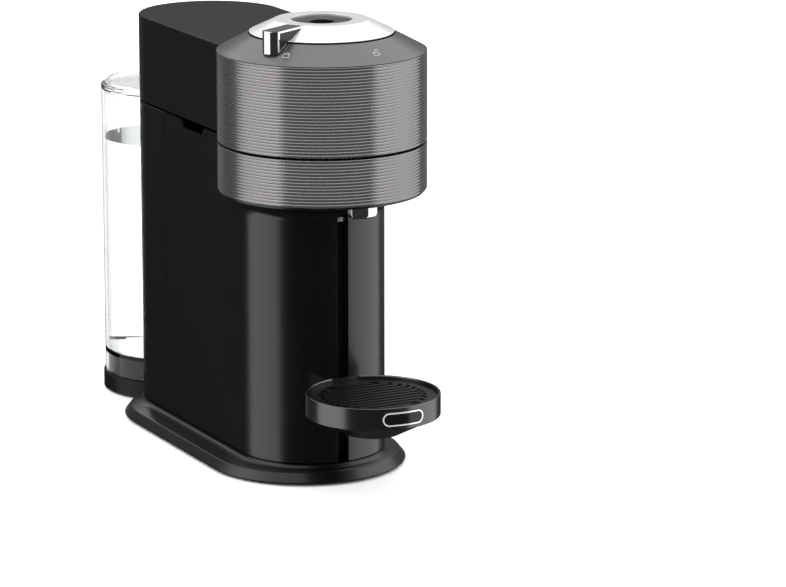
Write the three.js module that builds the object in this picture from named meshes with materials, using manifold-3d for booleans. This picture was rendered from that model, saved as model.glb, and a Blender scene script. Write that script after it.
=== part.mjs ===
// Pod coffee machine: a slim stand with a round ribbed brewing head, a sliding cup support,
// a side-loading used-capsule container and a lift-off water tank.
// Millimetres, +Z up. While building, y = 0 is the axis of the round head and the front is -Y;
// the last step moves everything so that the origin is the middle of the footprint on the floor.
import * as THREE from 'three';
import { mergeVertices } from 'three/addons/utils/BufferGeometryUtils.js';
import { ParametricGeometry } from 'three/addons/geometries/ParametricGeometry.js';
import Module from 'manifold-3d';

const wasm = await Module();
wasm.setup();

// ---- driving sizes -------------------------------------------------------------------------
const HEIGHT = 314;            // floor to the top of the lever ring
const HEAD_R = 71;             // outside of the two ribbed head rings
const HEAD_WALL = 3;
const HEAD_BOTTOM = 198.8;     // underside of the lower head ring
const SPLIT_Z = 231.5;         // middle of the dark gap between the two head rings
const SPLIT_GAP = 1.5;
const HEAD_TOP = 293;          // top of the upper ribbed ring, where the bevel starts
const BODY_HALF = 51.5;        // half width of the stand, and radius of its round ends
const COLUMN_REACH = 31;       // head axis to the front of the column
const BODY_REAR_Y = 178;       // centre of the round rear of the stand
const BODY_TOP = 292;
const BODY_WALL = 2.5;
const SEAM_Z = 230.4;          // horizontal seam between the housing and the lower body
const SEAM_GAP = 1.5;
const SEAM_REAR_Y = 146;       // upright seam behind it
const PAD_Z = 12.6;            // top of the plinth under the body
const BASE_HALF = 70;          // half width of the plinth at the floor
const BASE_FRONT_Y = 29;
const BASE_REAR_Y = 167;
const BASE_EDGE_Z = 8.3;       // top outer edge of the plinth
const BASE_TAPER = 4.6;        // how far the plinth's side leans in
const FOOT_H = 1.2;
const TRAY_Y = -75.5;          // centre of the round cup support
const TRAY_R = 45.3;
const TRAY_TOP = 73;
const TRAY_RIM = 15;           // height of the upright rim
const TRAY_BOWL = 13;          // depth of the cone below it
const TANK_Y = 258.5;          // centre of the round water tank
const TANK_R = 47.5;
const TANK_TOP = 226;          // top of the clear wall
const LID_TOP = 231;
const SEAT_REACH = 1.3;        // how far the seat ring stands outside the tank
const SEAT_TOP = 13.5;
const LEVER_ANGLE = -60;       // degrees from the front, at the locked stop
const LEVER_REACH = 64;        // head axis to the end of the lever
const RIDE = 0.3;              // gap between two touching pieces
const RUN = 0.8;               // gap between a moving piece and what it passes
const BADGE_T = 0.6;

const DEG = Math.PI / 180;
const bodySides = BODY_HALF - BODY_WALL;
const BODY_FRONT_Y = BODY_HALF - COLUMN_REACH;   // centre of the column's round front
// upright seam in front of the capsule container, just clear of the round head
const SEAM_FRONT_Y = Math.sqrt((HEAD_R + 0.4) ** 2 - bodySides ** 2);
const SEAT_R = TANK_R + SEAT_REACH;
const FRONT_END = TRAY_Y - TRAY_R - RIDE - BADGE_T;
const REAR_END = TANK_Y + SEAT_R;
const CENTRE_Y = (FRONT_END + REAR_END) / 2;
const SPLIT_LOW = SPLIT_Z - SPLIT_GAP / 2;
const SPLIT_HIGH = SPLIT_Z + SPLIT_GAP / 2;
const SHELL_LOW = PAD_Z + 0.7;
const SHELL_HIGH = SEAM_Z - SEAM_GAP / 2;
const HOUSING_LOW = SEAM_Z + SEAM_GAP / 2;
const BIG = 44;                // facets round the large rings
const MID = 24;
const SMALL = 12;

// ---- finishes -------------------------------------------------------------------------------
const finish = (color, roughness, metalness) => ({ color, roughness, metalness });
const RIBBED = finish(0x6e6a6a, 0.35, 0.7);
const CAP_GREY = finish(0x7b7879, 0.4, 0.5);
const CHROME = finish(0xd8dade, 0.08, 1);
const BLACK = finish(0x1a1c1b, 0.5, 0);
const SATIN = finish(0x222322, 0.35, 0);
const DARK = finish(0x0c0c0d, 0.6, 0);
const RUBBER = finish(0x161616, 0.85, 0);
const STEEL = finish(0xa9abad, 0.3, 1);
const ALLOY = finish(0xb4b6b8, 0.4, 1);
const BRASS = finish(0xb08d4a, 0.35, 1);
const CLEAR = finish(0xe9f0f2, 0.05, 0);
const HOSE = finish(0xd9d7d0, 0.5, 0);
const BOARD = finish(0x1f5c3a, 0.6, 0);

// ---- solids ---------------------------------------------------------------------------------
function signedVolume(position, index) {
  const a = new THREE.Vector3();
  const b = new THREE.Vector3();
  const c = new THREE.Vector3();
  let sum = 0;
  for (let i = 0; i < index.length; i += 3) {
    a.fromBufferAttribute(position, index[i]);
    b.fromBufferAttribute(position, index[i + 1]);
    c.fromBufferAttribute(position, index[i + 2]);
    sum += a.dot(b.cross(c));
  }
  return sum;
}

// A three.js geometry as a manifold solid: welded, without empty triangles, facing outwards.
function solid(geometry) {
  geometry.deleteAttribute('normal');
  geometry.deleteAttribute('uv');
  const welded = mergeVertices(geometry, 1e-4);
  const source = welded.index.array;
  const kept = [];
  for (let i = 0; i < source.length; i += 3) {
    const [p, q, r] = [source[i], source[i + 1], source[i + 2]];
    if (p !== q && q !== r && r !== p) kept.push(p, q, r);
  }
  if (signedVolume(welded.attributes.position, kept) < 0) kept.reverse();
  return new wasm.Manifold(new wasm.Mesh({
    numProp: 3,
    vertProperties: new Float32Array(welded.attributes.position.array),
    triVerts: new Uint32Array(kept),
  }));
}

function geometryOf(body) {
  const mesh = body.getMesh();
  const geometry = new THREE.BufferGeometry();
  geometry.setAttribute('position', new THREE.BufferAttribute(mesh.vertProperties, 3));
  geometry.setIndex(new THREE.BufferAttribute(mesh.triVerts, 1));
  return geometry;
}

// Turned piece: the profile is a list of [radius, height] about an upright axis.
function turned(profile, facets, x = 0, y = 0) {
  const points = profile.map(([r, z]) => new THREE.Vector2(r, z));
  const onAxis = profile[0][0] === 0 && profile[profile.length - 1][0] === 0;
  if (!onAxis) points.push(points[0].clone());
  const geometry = new THREE.LatheGeometry(points, facets);
  return solid(geometry.rotateX(Math.PI / 2).translate(x, y, 0));
}

function disc(radius, low, high, facets, x = 0, y = 0) {
  return turned([[0, low], [radius, low], [radius, high], [0, high]], facets, x, y);
}

function tube(outer, inner, low, high, facets, x = 0, y = 0) {
  return turned([[inner, low], [outer, low], [outer, high], [inner, high]], facets, x, y);
}

function box(x0, x1, y0, y1, z0, z1) {
  const geometry = new THREE.BoxGeometry(x1 - x0, y1 - y0, z1 - z0);
  return solid(geometry.translate((x0 + x1) / 2, (y0 + y1) / 2, (z0 + z1) / 2));
}

// Round bar along X, centred on x.
function crossBar(radius, x, length, y, z, facets) {
  const geometry = new THREE.CylinderGeometry(radius, radius, length, facets);
  return solid(geometry.rotateZ(Math.PI / 2).translate(x, y, z));
}

// Round bar along Y, centred on y.
function longBar(radius, x, y, length, z, facets) {
  const geometry = new THREE.CylinderGeometry(radius, radius, length, facets);
  return solid(geometry.translate(x, y, z));
}

function plate(shape, low, high, segments) {
  const options = { depth: high - low, bevelEnabled: false, curveSegments: segments };
  return solid(new THREE.ExtrudeGeometry(shape, options).translate(0, 0, low));
}

// Hose: a round section pushed along a smooth path.
function hose(radius, path, steps) {
  const section = new THREE.Shape().absarc(0, 0, radius, 0, 2 * Math.PI);
  const curve = new THREE.CatmullRomCurve3(path.map((p) => new THREE.Vector3(...p)));
  const options = { steps, curveSegments: 5, bevelEnabled: false, extrudePath: curve };
  return solid(new THREE.ExtrudeGeometry(section, options));
}

// Closed skin: `at(u, k)` gives level k of `levels` at the place u round the loop; the last
// level joins the first.
function skin(slices, levels, at) {
  const surface = (u, v, target) => {
    target.copy(at(Math.round(u * slices) % slices, Math.round(v * levels) % levels));
  };
  return solid(new ParametricGeometry(surface, slices, levels));
}

// Outline with straight sides: round or square front, round or square rear.
function outline(half, frontY, rearY, squareFront, squareRear) {
  const shape = new THREE.Shape();
  if (squareFront) {
    shape.moveTo(-half, frontY);
    shape.lineTo(half, frontY);
  } else {
    shape.absarc(0, frontY, half, Math.PI, 2 * Math.PI);
  }
  if (squareRear) {
    shape.lineTo(half, rearY);
    shape.lineTo(-half, rearY);
  } else {
    shape.absarc(0, rearY, half, 0, Math.PI);
  }
  shape.closePath();
  return shape;
}

const machine = new THREE.Group();
machine.name = 'pod_coffee_machine';

function add(name, body, look) {
  const geometry = geometryOf(body).translate(0, -CENTRE_Y, 0);
  const material = new THREE.MeshStandardMaterial(look);
  material.name = name;
  const mesh = new THREE.Mesh(geometry, material);
  mesh.name = name;
  machine.add(mesh);
}

// ---- plinth, feet and tank seat -------------------------------------------------------------
function plinth(grow) {
  const arc = 18;
  const slices = 2 * arc + 2;
  // [how far from the body outline (0) to the plinth outline (1), inset, height]
  const inner = BODY_HALF - 12;
  const rim = BASE_HALF - BASE_TAPER;
  const fillet = 6;
  const levels = [
    [inner, 0, FOOT_H + RIDE],
    [BASE_HALF - 1, 1, FOOT_H + RIDE],
    [BASE_HALF, 1, FOOT_H + RIDE + 1],
    [rim, 1, BASE_EDGE_Z],
    [BODY_HALF + fillet, 0.25, BASE_EDGE_Z + 1.2],
    [BODY_HALF + fillet * 0.45, 0.1, BASE_EDGE_Z + 1.9],
    [BODY_HALF + fillet * 0.12, 0, BASE_EDGE_Z + 3.2],
    [BODY_HALF, 0, PAD_Z],
    [inner, 0, PAD_Z],
  ];
  const ring = skin(slices, levels.length, (index, k) => {
    const [narrow, share, height] = levels[k];
    const half = narrow + grow;
    const z = height + grow;
    const front = index <= arc;
    const step = front ? index : index - arc - 1;
    const angle = (front ? Math.PI : 0) + (Math.PI * step) / arc;
    const frontY = BODY_FRONT_Y + (BASE_FRONT_Y - BODY_FRONT_Y) * share;
    const rearY = BODY_REAR_Y + (BASE_REAR_Y - BODY_REAR_Y) * share;
    const y = (front ? frontY : rearY) + half * Math.sin(angle);
    return new THREE.Vector3(half * Math.cos(angle), y, z);
  });
  const middle = outline(inner + 1 + grow, BODY_FRONT_Y, BODY_REAR_Y);
  return ring.add(plate(middle, PAD_Z - 4, PAD_Z + grow, arc / 2));
}
add('base_plinth', plinth(0), BLACK);

const SEAT_WALL = 2.2;
const SPIGOT_Y = TANK_Y + 6;
const SEAT_FLOOR = 7;
// What the plinth and the body above it take up, with a gap all round.
function plinthRoom() {
  const sole = outline(BASE_HALF + RIDE, BASE_FRONT_Y, BASE_REAR_Y);
  const under = plate(sole, 0, FOOT_H + RIDE + 1, 18)
    .add(plate(outline(BODY_HALF - 5, BODY_FRONT_Y, BODY_REAR_Y), 0, PAD_Z, MID / 2));
  const above = disc(BODY_HALF + RIDE * 2, PAD_Z - 4, HEIGHT, BIG, 0, BODY_REAR_Y);
  return plinth(RIDE).add(under).add(above);
}
const plinthKeepOut = plinthRoom();
function tankSeat() {
  const cup = disc(SEAT_R, FOOT_H + RIDE, SEAT_TOP, BIG, 0, TANK_Y);
  const hollow = disc(SEAT_R - SEAT_WALL, SEAT_FLOOR, HEIGHT, BIG, 0, TANK_Y);
  const spigotHole = disc(7, 0, HEIGHT, SMALL, 0, SPIGOT_Y);
  return cup.subtract(hollow).subtract(plinthKeepOut).subtract(spigotHole);
}
add('tank_seat', tankSeat(), BLACK);

const SPIGOT_TOP = 15.2;
const spigot = turned([
  [3, FOOT_H + 1], [6.5, FOOT_H + 1], [6.5, SEAT_FLOOR + RIDE], [9, SEAT_FLOOR + RIDE],
  [9, SEAT_FLOOR + 2], [5, SEAT_FLOOR + 2], [5, SPIGOT_TOP], [3, SPIGOT_TOP],
], SMALL, 0, SPIGOT_Y);
add('inlet_spigot', spigot, DARK);

const FOOT_X = 54;
const FEET = {
  foot_front_left: [-FOOT_X, BASE_FRONT_Y],
  foot_front_right: [FOOT_X, BASE_FRONT_Y],
  foot_middle_left: [-FOOT_X, BASE_REAR_Y],
  foot_middle_right: [FOOT_X, BASE_REAR_Y],
  foot_rear: [0, TANK_Y + 34],
};
for (const [name, [x, y]] of Object.entries(FEET)) {
  add(name, disc(7, 0, FOOT_H, SMALL, x, y), RUBBER);
}

// ---- front column with its flare under the head ---------------------------------------------
const FLARE_LOW = 181;
const FLARE_R = HEAD_R - 2;
const LIP_Z = HEAD_BOTTOM - 0.5;
const SLOT_HALF = 4;
const SLOT_TOP = 182;
function column() {
  const arc = 24;
  const side = 3;
  const half = arc / 2;
  const slices = arc + 2 * side;
  const sideAngle = Math.asin(BODY_FRONT_Y / FLARE_R);
  const outlineAt = (index, inset) => {
    const wall = BODY_HALF - inset;
    const back = SEAM_FRONT_Y - inset;
    if (index <= arc) {
      const angle = Math.PI + (Math.PI * index) / arc;
      return new THREE.Vector2(wall * Math.cos(angle), BODY_FRONT_Y + wall * Math.sin(angle));
    }
    const step = index - arc;
    if (step <= side) {
      return new THREE.Vector2(wall, BODY_FRONT_Y + ((back - BODY_FRONT_Y) * step) / side);
    }
    const rest = step - side - 1;
    return new THREE.Vector2(-wall, back - ((back - BODY_FRONT_Y) * rest) / side);
  };
  const flareAt = (index) => {
    const low = outlineAt(index, 0);
    if (index <= arc) {
      const turn = ((index - half) / half) * (Math.PI / 2 + sideAngle);
      return new THREE.Vector2(FLARE_R * Math.sin(turn), -FLARE_R * Math.cos(turn));
    }
    const reach = Math.sqrt(Math.max(0, FLARE_R ** 2 - low.y ** 2));
    return new THREE.Vector2(Math.sign(low.x) * Math.max(BODY_HALF, reach), low.y);
  };
  const rise = LIP_Z - 1.3 - FLARE_LOW;
  const curve = [0, 20, 40, 58, 74, 90].map((a) => [1 - Math.cos(a * DEG), Math.sin(a * DEG)]);
  const levels = [[0, 0, SHELL_LOW]];
  for (const [out, up] of curve) levels.push([0, out, FLARE_LOW + rise * up]);
  levels.push([0, 1, LIP_Z]);
  levels.push([0, 0.1, LIP_Z]);
  levels.push([BODY_WALL, 0, FLARE_LOW + 4]);
  levels.push([BODY_WALL, 0, SHELL_LOW]);
  const shell = skin(slices, levels.length, (index, k) => {
    const [inset, out, z] = levels[k];
    const low = outlineAt(index, inset);
    const place = low.lerp(flareAt(index), out);
    return new THREE.Vector3(place.x, place.y, z);
  });
  const slot = box(-SLOT_HALF, SLOT_HALF, -60, BODY_FRONT_Y - 30, 0, SLOT_TOP);
  const slotEnd = longBar(SLOT_HALF, 0, -35, 50, SLOT_TOP, SMALL);
  return shell.subtract(slot.add(slotEnd));
}

const OUTLET_Y = -61;
const OUTLET_HALF = 9.5;
const OUTLET_DEPTH = 8;
const OUTLET_LOW = 188.5;
const OUTLET_HIGH = 203;
const outletHole = box(
  -OUTLET_HALF - RIDE, OUTLET_HALF + RIDE,
  OUTLET_Y - OUTLET_DEPTH / 2 - RIDE, OUTLET_Y + OUTLET_DEPTH / 2 + RIDE, OUTLET_LOW, OUTLET_HIGH,
);
add('front_column', column().subtract(outletHole), SATIN);

// T-slotted rail behind the slot in the column
const RAIL_HALF = 12;
const RAIL_DEPTH = 9;
const RAIL_FRONT = BODY_FRONT_Y - Math.sqrt(bodySides ** 2 - RAIL_HALF ** 2) + RIDE;
const GROOVE_HALF = 9.5;
const rail = box(-RAIL_HALF, RAIL_HALF, RAIL_FRONT, RAIL_FRONT + RAIL_DEPTH, 18, 178)
  .subtract(box(-GROOVE_HALF, GROOVE_HALF, RAIL_FRONT + 2, RAIL_FRONT + RAIL_DEPTH - 2, 0, 200))
  .subtract(box(-SLOT_HALF, SLOT_HALF, RAIL_FRONT - 1, RAIL_FRONT + 4, 0, 200));
add('slot_rail', rail, DARK);

// ---- lower half of the head -----------------------------------------------------------------
add('lower_head_ring', tube(HEAD_R, HEAD_R - HEAD_WALL, HEAD_BOTTOM, SPLIT_LOW, BIG), RIBBED);

const DECK_R = HEAD_R - HEAD_WALL - RIDE;
const DECK_TOP = SPLIT_LOW - 0.4;
const CUP_R = 31.5;
add('capsule_deck', turned([
  [CUP_R + RUN, DECK_TOP - 3.4], [DECK_R, DECK_TOP - 3.4], [DECK_R, DECK_TOP],
  [CUP_R + 4, DECK_TOP], [CUP_R + RUN, DECK_TOP - 1.6],
], BIG), SATIN);

const TROUGH_LOW = 204;
const TROUGH_IN = 35;
const TROUGH_OUT = 52;
function collector() {
  const trough = turned([
    [TROUGH_IN, TROUGH_LOW], [TROUGH_OUT, TROUGH_LOW], [TROUGH_OUT, 224], [TROUGH_OUT - 2, 224],
    [TROUGH_OUT - 2, TROUGH_LOW + 2], [TROUGH_IN + 2, TROUGH_LOW + 2], [TROUGH_IN + 2, 220],
    [TROUGH_IN, 220],
  ], MID);
  const channel = box(-8, 8, -66.5, -TROUGH_OUT + 3, TROUGH_LOW, 216);
  const way = box(-6, 6, -64.5, -TROUGH_OUT + 5, TROUGH_LOW + 2, 230);
  const drop = disc(3, 0, HEIGHT, 16, 0, OUTLET_Y);
  return trough.add(channel).subtract(way).subtract(drop);
}
add('collector_bowl', collector(), DARK);

function outlet() {
  const high = OUTLET_HIGH + 0.6;
  const round = 4;
  const face = new THREE.Shape();
  face.moveTo(OUTLET_HALF, high);
  face.lineTo(-OUTLET_HALF, high);
  face.lineTo(-OUTLET_HALF, OUTLET_LOW + round);
  face.absarc(-OUTLET_HALF + round, OUTLET_LOW + round, round, Math.PI, 1.5 * Math.PI);
  face.absarc(OUTLET_HALF - round, OUTLET_LOW + round, round, 1.5 * Math.PI, 2 * Math.PI);
  face.closePath();
  const options = { depth: OUTLET_DEPTH, bevelEnabled: false, curveSegments: 5 };
  const block = new THREE.ExtrudeGeometry(face, options);
  block.rotateX(Math.PI / 2).translate(0, OUTLET_Y + OUTLET_DEPTH / 2, 0);
  return solid(block).subtract(disc(2.8, 0, HEIGHT, 16, 0, OUTLET_Y));
}
add('coffee_outlet', outlet(), CHROME);

// spinning capsule cup, its shaft, bearing and motor
const CUP_TOP = DECK_TOP - 0.6;
const CUP_FLOOR = 199;
add('capsule_holder', turned([
  [0, CUP_FLOOR - 3], [16, CUP_FLOOR - 3], [27, CUP_TOP - 5], [CUP_R, CUP_TOP - 3],
  [CUP_R, CUP_TOP], [28.5, CUP_TOP], [26, CUP_TOP - 3], [24, CUP_TOP - 8], [14, CUP_FLOOR],
  [0, CUP_FLOOR],
], MID), STEEL);
const MOTOR_TOP = 172;
add('drive_shaft', disc(4, MOTOR_TOP + RUN, CUP_FLOOR - 3 - RIDE, 16), STEEL);
add('shaft_bearing', tube(11, 4 + RIDE, 180, 186, MID / 2), STEEL);
const plateShape = outline(bodySides - RIDE * 2, BODY_FRONT_Y, SEAM_FRONT_Y - 4, false, true);
const mountPlate = plate(plateShape, 180, 183, MID / 2)
  .subtract(disc(11 + RIDE, 0, HEIGHT, MID / 2));
add('bearing_plate', mountPlate, ALLOY);
const MOTOR_R = -RAIL_FRONT - RAIL_DEPTH - 1.2;
add('spin_motor', turned([
  [0, 124], [MOTOR_R - 2, 124], [MOTOR_R, 127], [MOTOR_R, MOTOR_TOP - 6], [MOTOR_R - 3, MOTOR_TOP - 4],
  [6, MOTOR_TOP - 4], [6, MOTOR_TOP], [0, MOTOR_TOP],
], 24), STEEL);

// ---- rear shell, side panel, capsule container ----------------------------------------------
const SEAM_HALF = 0.3;
const GLAND_Y = 165;
const GLAND_Z = 26;
function rearShell() {
  const front = SEAM_REAR_Y + SEAM_HALF;
  const outer = plate(outline(BODY_HALF, front, BODY_REAR_Y, true), SHELL_LOW, SHELL_HIGH, 18);
  const inner = plate(outline(bodySides, front + BODY_WALL, BODY_REAR_Y, true), 0, HEIGHT, 18);
  return outer.subtract(inner).subtract(crossBar(6, BODY_HALF, 12, GLAND_Y, GLAND_Z, SMALL));
}
add('rear_shell', rearShell(), BLACK);

const PANEL_FRONT = SEAM_FRONT_Y + SEAM_HALF * 2;
const PANEL_REAR = SEAM_REAR_Y - SEAM_HALF;
add('right_side_panel',
  box(bodySides, BODY_HALF, PANEL_FRONT, PANEL_REAR, SHELL_LOW, SHELL_HIGH), BLACK);

const NOTCH_LONG = 38;
const NOTCH_SHORT = 32;
const NOTCH_DEEP = 5.5;
function containerPanel() {
  const middle = (SEAM_FRONT_Y + SEAM_REAR_Y) / 2;
  const face = new THREE.Shape();
  face.moveTo(PANEL_FRONT, SHELL_LOW);
  face.lineTo(PANEL_REAR, SHELL_LOW);
  face.lineTo(PANEL_REAR, SHELL_HIGH);
  face.lineTo(middle + NOTCH_LONG / 2, SHELL_HIGH);
  face.lineTo(middle + NOTCH_SHORT / 2, SHELL_HIGH - NOTCH_DEEP);
  face.lineTo(middle - NOTCH_SHORT / 2, SHELL_HIGH - NOTCH_DEEP);
  face.lineTo(middle - NOTCH_LONG / 2, SHELL_HIGH);
  face.lineTo(PANEL_FRONT, SHELL_HIGH);
  face.closePath();
  const options = { depth: BODY_WALL, bevelEnabled: false };
  const sheet = new THREE.ExtrudeGeometry(face, options);
  // shape x runs along machine y, shape y is up, and the depth is machine x
  sheet.rotateX(Math.PI / 2).rotateZ(Math.PI / 2).translate(-BODY_HALF, 0, 0);
  return solid(sheet);
}
add('container_panel', containerPanel(), BLACK);

const BIN_LEFT = -bodySides + RIDE;
const BIN_RIGHT = bodySides - 2;
const BIN_FRONT = SEAM_FRONT_Y + 3;
const BIN_REAR = SEAM_REAR_Y - 3;
const BIN_TOP = HEAD_BOTTOM - 4;
const BIN_WALL = 2;
const bin = box(BIN_LEFT, BIN_RIGHT, BIN_FRONT, BIN_REAR, SHELL_LOW, BIN_TOP)
  .subtract(box(BIN_LEFT + BIN_WALL, BIN_RIGHT - BIN_WALL, BIN_FRONT + BIN_WALL,
    BIN_REAR - BIN_WALL, SHELL_LOW + BIN_WALL, HEIGHT));
add('capsule_container', bin, BLACK);

// cord inlet: only the bushing
add('cable_gland', crossBar(5.7, BODY_HALF - 1, 8, GLAND_Y, GLAND_Z, SMALL)
  .add(crossBar(8, BODY_HALF + 1.5, 2.4, GLAND_Y, GLAND_Z, SMALL))
  .subtract(crossBar(3.4, BODY_HALF, 30, GLAND_Y, GLAND_Z, 16)), RUBBER);

// ---- top housing and the hinge --------------------------------------------------------------
const HINGE_Y = HEAD_R + 5;
const HINGE_Z = BODY_TOP - 0.5;
const KNUCKLE_HALF = 11;
const KNUCKLE_R = 4.5;
const PIN_R = 2.5;
const PIN_HALF = 17;
const CHUTE_HALF = 32;
const CHUTE_TOP = 268;
function housing() {
  const bevel = 1;
  const shape = outline(BODY_HALF - bevel, 0, BODY_REAR_Y, true);
  const options = {
    depth: BODY_TOP - bevel - HOUSING_LOW, bevelEnabled: true, bevelSize: bevel,
    bevelThickness: bevel, bevelSegments: 2, curveSegments: 18,
  };
  const outer = solid(new THREE.ExtrudeGeometry(shape, options).translate(0, 0, HOUSING_LOW))
    .subtract(box(-80, 80, -80, 300, 0, HOUSING_LOW));
  const headRoom = HEAD_R + 1.2;
  const frontWall = disc(headRoom + BODY_WALL, 0, BODY_TOP - BODY_WALL, BIG);
  const inner = plate(outline(bodySides, 0, BODY_REAR_Y, true), 0, BODY_TOP - BODY_WALL, 18)
    .subtract(frontWall);
  const pocket = box(-KNUCKLE_HALF - RUN, KNUCKLE_HALF + RUN, 0, HINGE_Y + KNUCKLE_R + RUN,
    HINGE_Z - KNUCKLE_R - RUN - 1, HEIGHT);
  const bossLow = HINGE_Z - KNUCKLE_R - 2;
  const bosses = box(-KNUCKLE_HALF - 8, KNUCKLE_HALF + 8, HEAD_R, HINGE_Y + 5, bossLow,
    BODY_TOP - 1);
  const pinHole = crossBar(PIN_R + RIDE, 0, 2 * PIN_HALF + 2 * RIDE, HINGE_Y, HINGE_Z, SMALL);
  const chute = box(-CHUTE_HALF, CHUTE_HALF, 0, HINGE_Y + 3, 0, CHUTE_TOP);
  return outer.subtract(inner).add(bosses)
    .subtract(disc(headRoom, 0, HEIGHT, BIG))
    .subtract(pocket)
    .subtract(pinHole)
    .subtract(chute);
}
add('top_housing', housing(), BLACK);
add('hinge_pin', crossBar(PIN_R, 0, 2 * PIN_HALF, HINGE_Y, HINGE_Z, SMALL), STEEL);

// ---- works inside the rear of the stand -----------------------------------------------------
const PUMP = { x: -20, y: 184, r: 17, low: 44, high: 104 };
add('water_pump', turned([
  [0, PUMP.low], [5, PUMP.low], [5, PUMP.low + 8], [PUMP.r, PUMP.low + 10],
  [PUMP.r, PUMP.high - 12], [8, PUMP.high - 10], [8, PUMP.high - 2], [4, PUMP.high], [0, PUMP.high],
], 24, PUMP.x, PUMP.y), BRASS);
const pumpHole = disc(PUMP.r + RIDE, 0, HEIGHT, 24, PUMP.x, PUMP.y);
const rearInside = outline(bodySides - RIDE, SEAM_REAR_Y + 3, BODY_REAR_Y, true);
const cradle = box(PUMP.x - 20, PUMP.x + 22, PUMP.y - 22, PUMP.y + 18, 60, 66)
  .intersect(plate(rearInside, 0, HEIGHT, 18))
  .subtract(pumpHole);
add('pump_mount', cradle, RUBBER);

const METER = { x: 26, y: 186, r: 11, low: 30, high: 48 };
add('flow_meter', disc(METER.r, METER.low, METER.high, SMALL, METER.x, METER.y)
  .add(disc(3.5, METER.low - 8, METER.low + 1, 12, METER.x, METER.y))
  .add(disc(3.5, METER.high - 1, METER.high + 8, 12, METER.x, METER.y)), DARK);

const HEATER = { x: 14, y: 172, half: 22, deep: 16, low: 118, high: 188 };
const heaterCore = box(HEATER.x - HEATER.half, HEATER.x + HEATER.half, HEATER.y - HEATER.deep,
  HEATER.y + HEATER.deep, HEATER.low, HEATER.high);
const fins = [0, 1, 2, 3].map((i) => {
  const low = HEATER.low + 10 + i * 15;
  return box(HEATER.x - HEATER.half - 1, HEATER.x + HEATER.half + 1, HEATER.y + HEATER.deep - 2,
    HEATER.y + HEATER.deep + 1, low, low + 7);
});
add('heater_block', fins.reduce((body, fin) => body.add(fin), heaterCore), ALLOY);

const CARD = { low: 246, y0: 158, y1: 210, half: 34 };
const card = box(-CARD.half, CARD.half, CARD.y0, CARD.y1, CARD.low, CARD.low + 1.6)
  .intersect(plate(rearInside, 0, HEIGHT, 18))
  .add(box(-26, -8, 166, 186, CARD.low + 1, CARD.low + 16))
  .add(box(4, 12, 166, 176, CARD.low + 1, CARD.low + 6))
  .add(disc(6, CARD.low + 1, CARD.low + 20, 16, 22, 200))
  .add(box(-24, 4, 198, 206, CARD.low + 1, CARD.low + 9));
add('control_board', card, BOARD);

const HOSE_R = 3;
add('suction_hose', hose(HOSE_R, [
  [METER.x, METER.y, METER.high + 8.5], [METER.x - 2, METER.y + 1, METER.high + 22],
  [METER.x - 14, METER.y + 10, METER.high + 20], [6, 206, 60], [-4, 204, 36], [-19, 186, 29],
  [PUMP.x, PUMP.y, PUMP.low - 8], [PUMP.x, PUMP.y, PUMP.low - 0.6],
], 22), HOSE);
add('pressure_hose', hose(HOSE_R, [
  [PUMP.x, PUMP.y, PUMP.high + 0.6], [PUMP.x, PUMP.y, PUMP.high + 10],
  [PUMP.x + 6, 198, 126], [-14, 204, 150], [-16, 200, 186], [-8, 188, 204],
  [HEATER.x - 4, HEATER.y + 4, HEATER.high + 20], [HEATER.x, HEATER.y, HEATER.high + 10],
  [HEATER.x, HEATER.y, HEATER.high + 0.6],
], 24), HOSE);
add('supply_hose', hose(HOSE_R, [
  [HEATER.x + 12, HEATER.y - 4, HEATER.high + 0.6], [HEATER.x + 12, HEATER.y - 4, 200],
  [HEATER.x + 20, 152, 245], [36, 130, 276],
  [24, HINGE_Y + 28, 280], [16, HINGE_Y + 12, 277],
], 22), HOSE);

// ---- upper half of the head -----------------------------------------------------------------
add('upper_head_ring', tube(HEAD_R, HEAD_R - HEAD_WALL, SPLIT_HIGH, HEAD_TOP, BIG), RIBBED);

const LEVER_R = 49;
const CAP_EDGE_R = LEVER_R + 0.6;
const CAP_EDGE_Z = 304.7;
const CAP_FLAT = 302.6;
const HUB_R = 18.2;
const bevelLow = HEAD_TOP + RIDE;
const bevelSlope = (CAP_EDGE_Z - bevelLow) / (HEAD_R - CAP_EDGE_R);
const bevelAt = (r) => bevelLow + (HEAD_R - r) * bevelSlope;
add('head_cap', turned([
  [HEAD_R, bevelLow], [CAP_EDGE_R, CAP_EDGE_Z], [CAP_EDGE_R, CAP_FLAT], [HUB_R + 0.4, CAP_FLAT],
  [HUB_R + 0.4, CAP_FLAT - 2.5], [CAP_EDGE_R + 1.5, CAP_FLAT - 2.5], [DECK_R - 2, bevelLow - 1],
  [DECK_R - 2, bevelLow - 4], [DECK_R, bevelLow - 4], [DECK_R, bevelLow],
], BIG), CAP_GREY);

const UNDER_LOW = SPLIT_HIGH + 0.7;
const INJECT_R = 28.8;
const NOZZLE_R = 10;
add('head_underplate', turned([
  [INJECT_R + RUN, UNDER_LOW], [DECK_R, UNDER_LOW], [DECK_R, UNDER_LOW + 3],
  [INJECT_R + RUN + 2.4, UNDER_LOW + 3], [INJECT_R + RUN + 2.4, 248], [INJECT_R + RUN, 248],
], 48), SATIN);
const CHASSIS_LOW = 282;
const CHASSIS_HIGH = 285;
add('head_chassis', turned([
  [0, CHASSIS_LOW], [NOZZLE_R + 4, CHASSIS_LOW], [NOZZLE_R + 4, 252], [NOZZLE_R + 7, 252],
  [NOZZLE_R + 7, CHASSIS_LOW - 3], [DECK_R - 3, CHASSIS_LOW - 3], [DECK_R - 3, CHASSIS_HIGH],
  [7, CHASSIS_HIGH], [7, 290.5], [0, 290.5],
], MID), DARK);
add('injector_bearing', tube(NOZZLE_R + 4 - RIDE, NOZZLE_R + RIDE, 253, 259, 24), STEEL);
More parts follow.
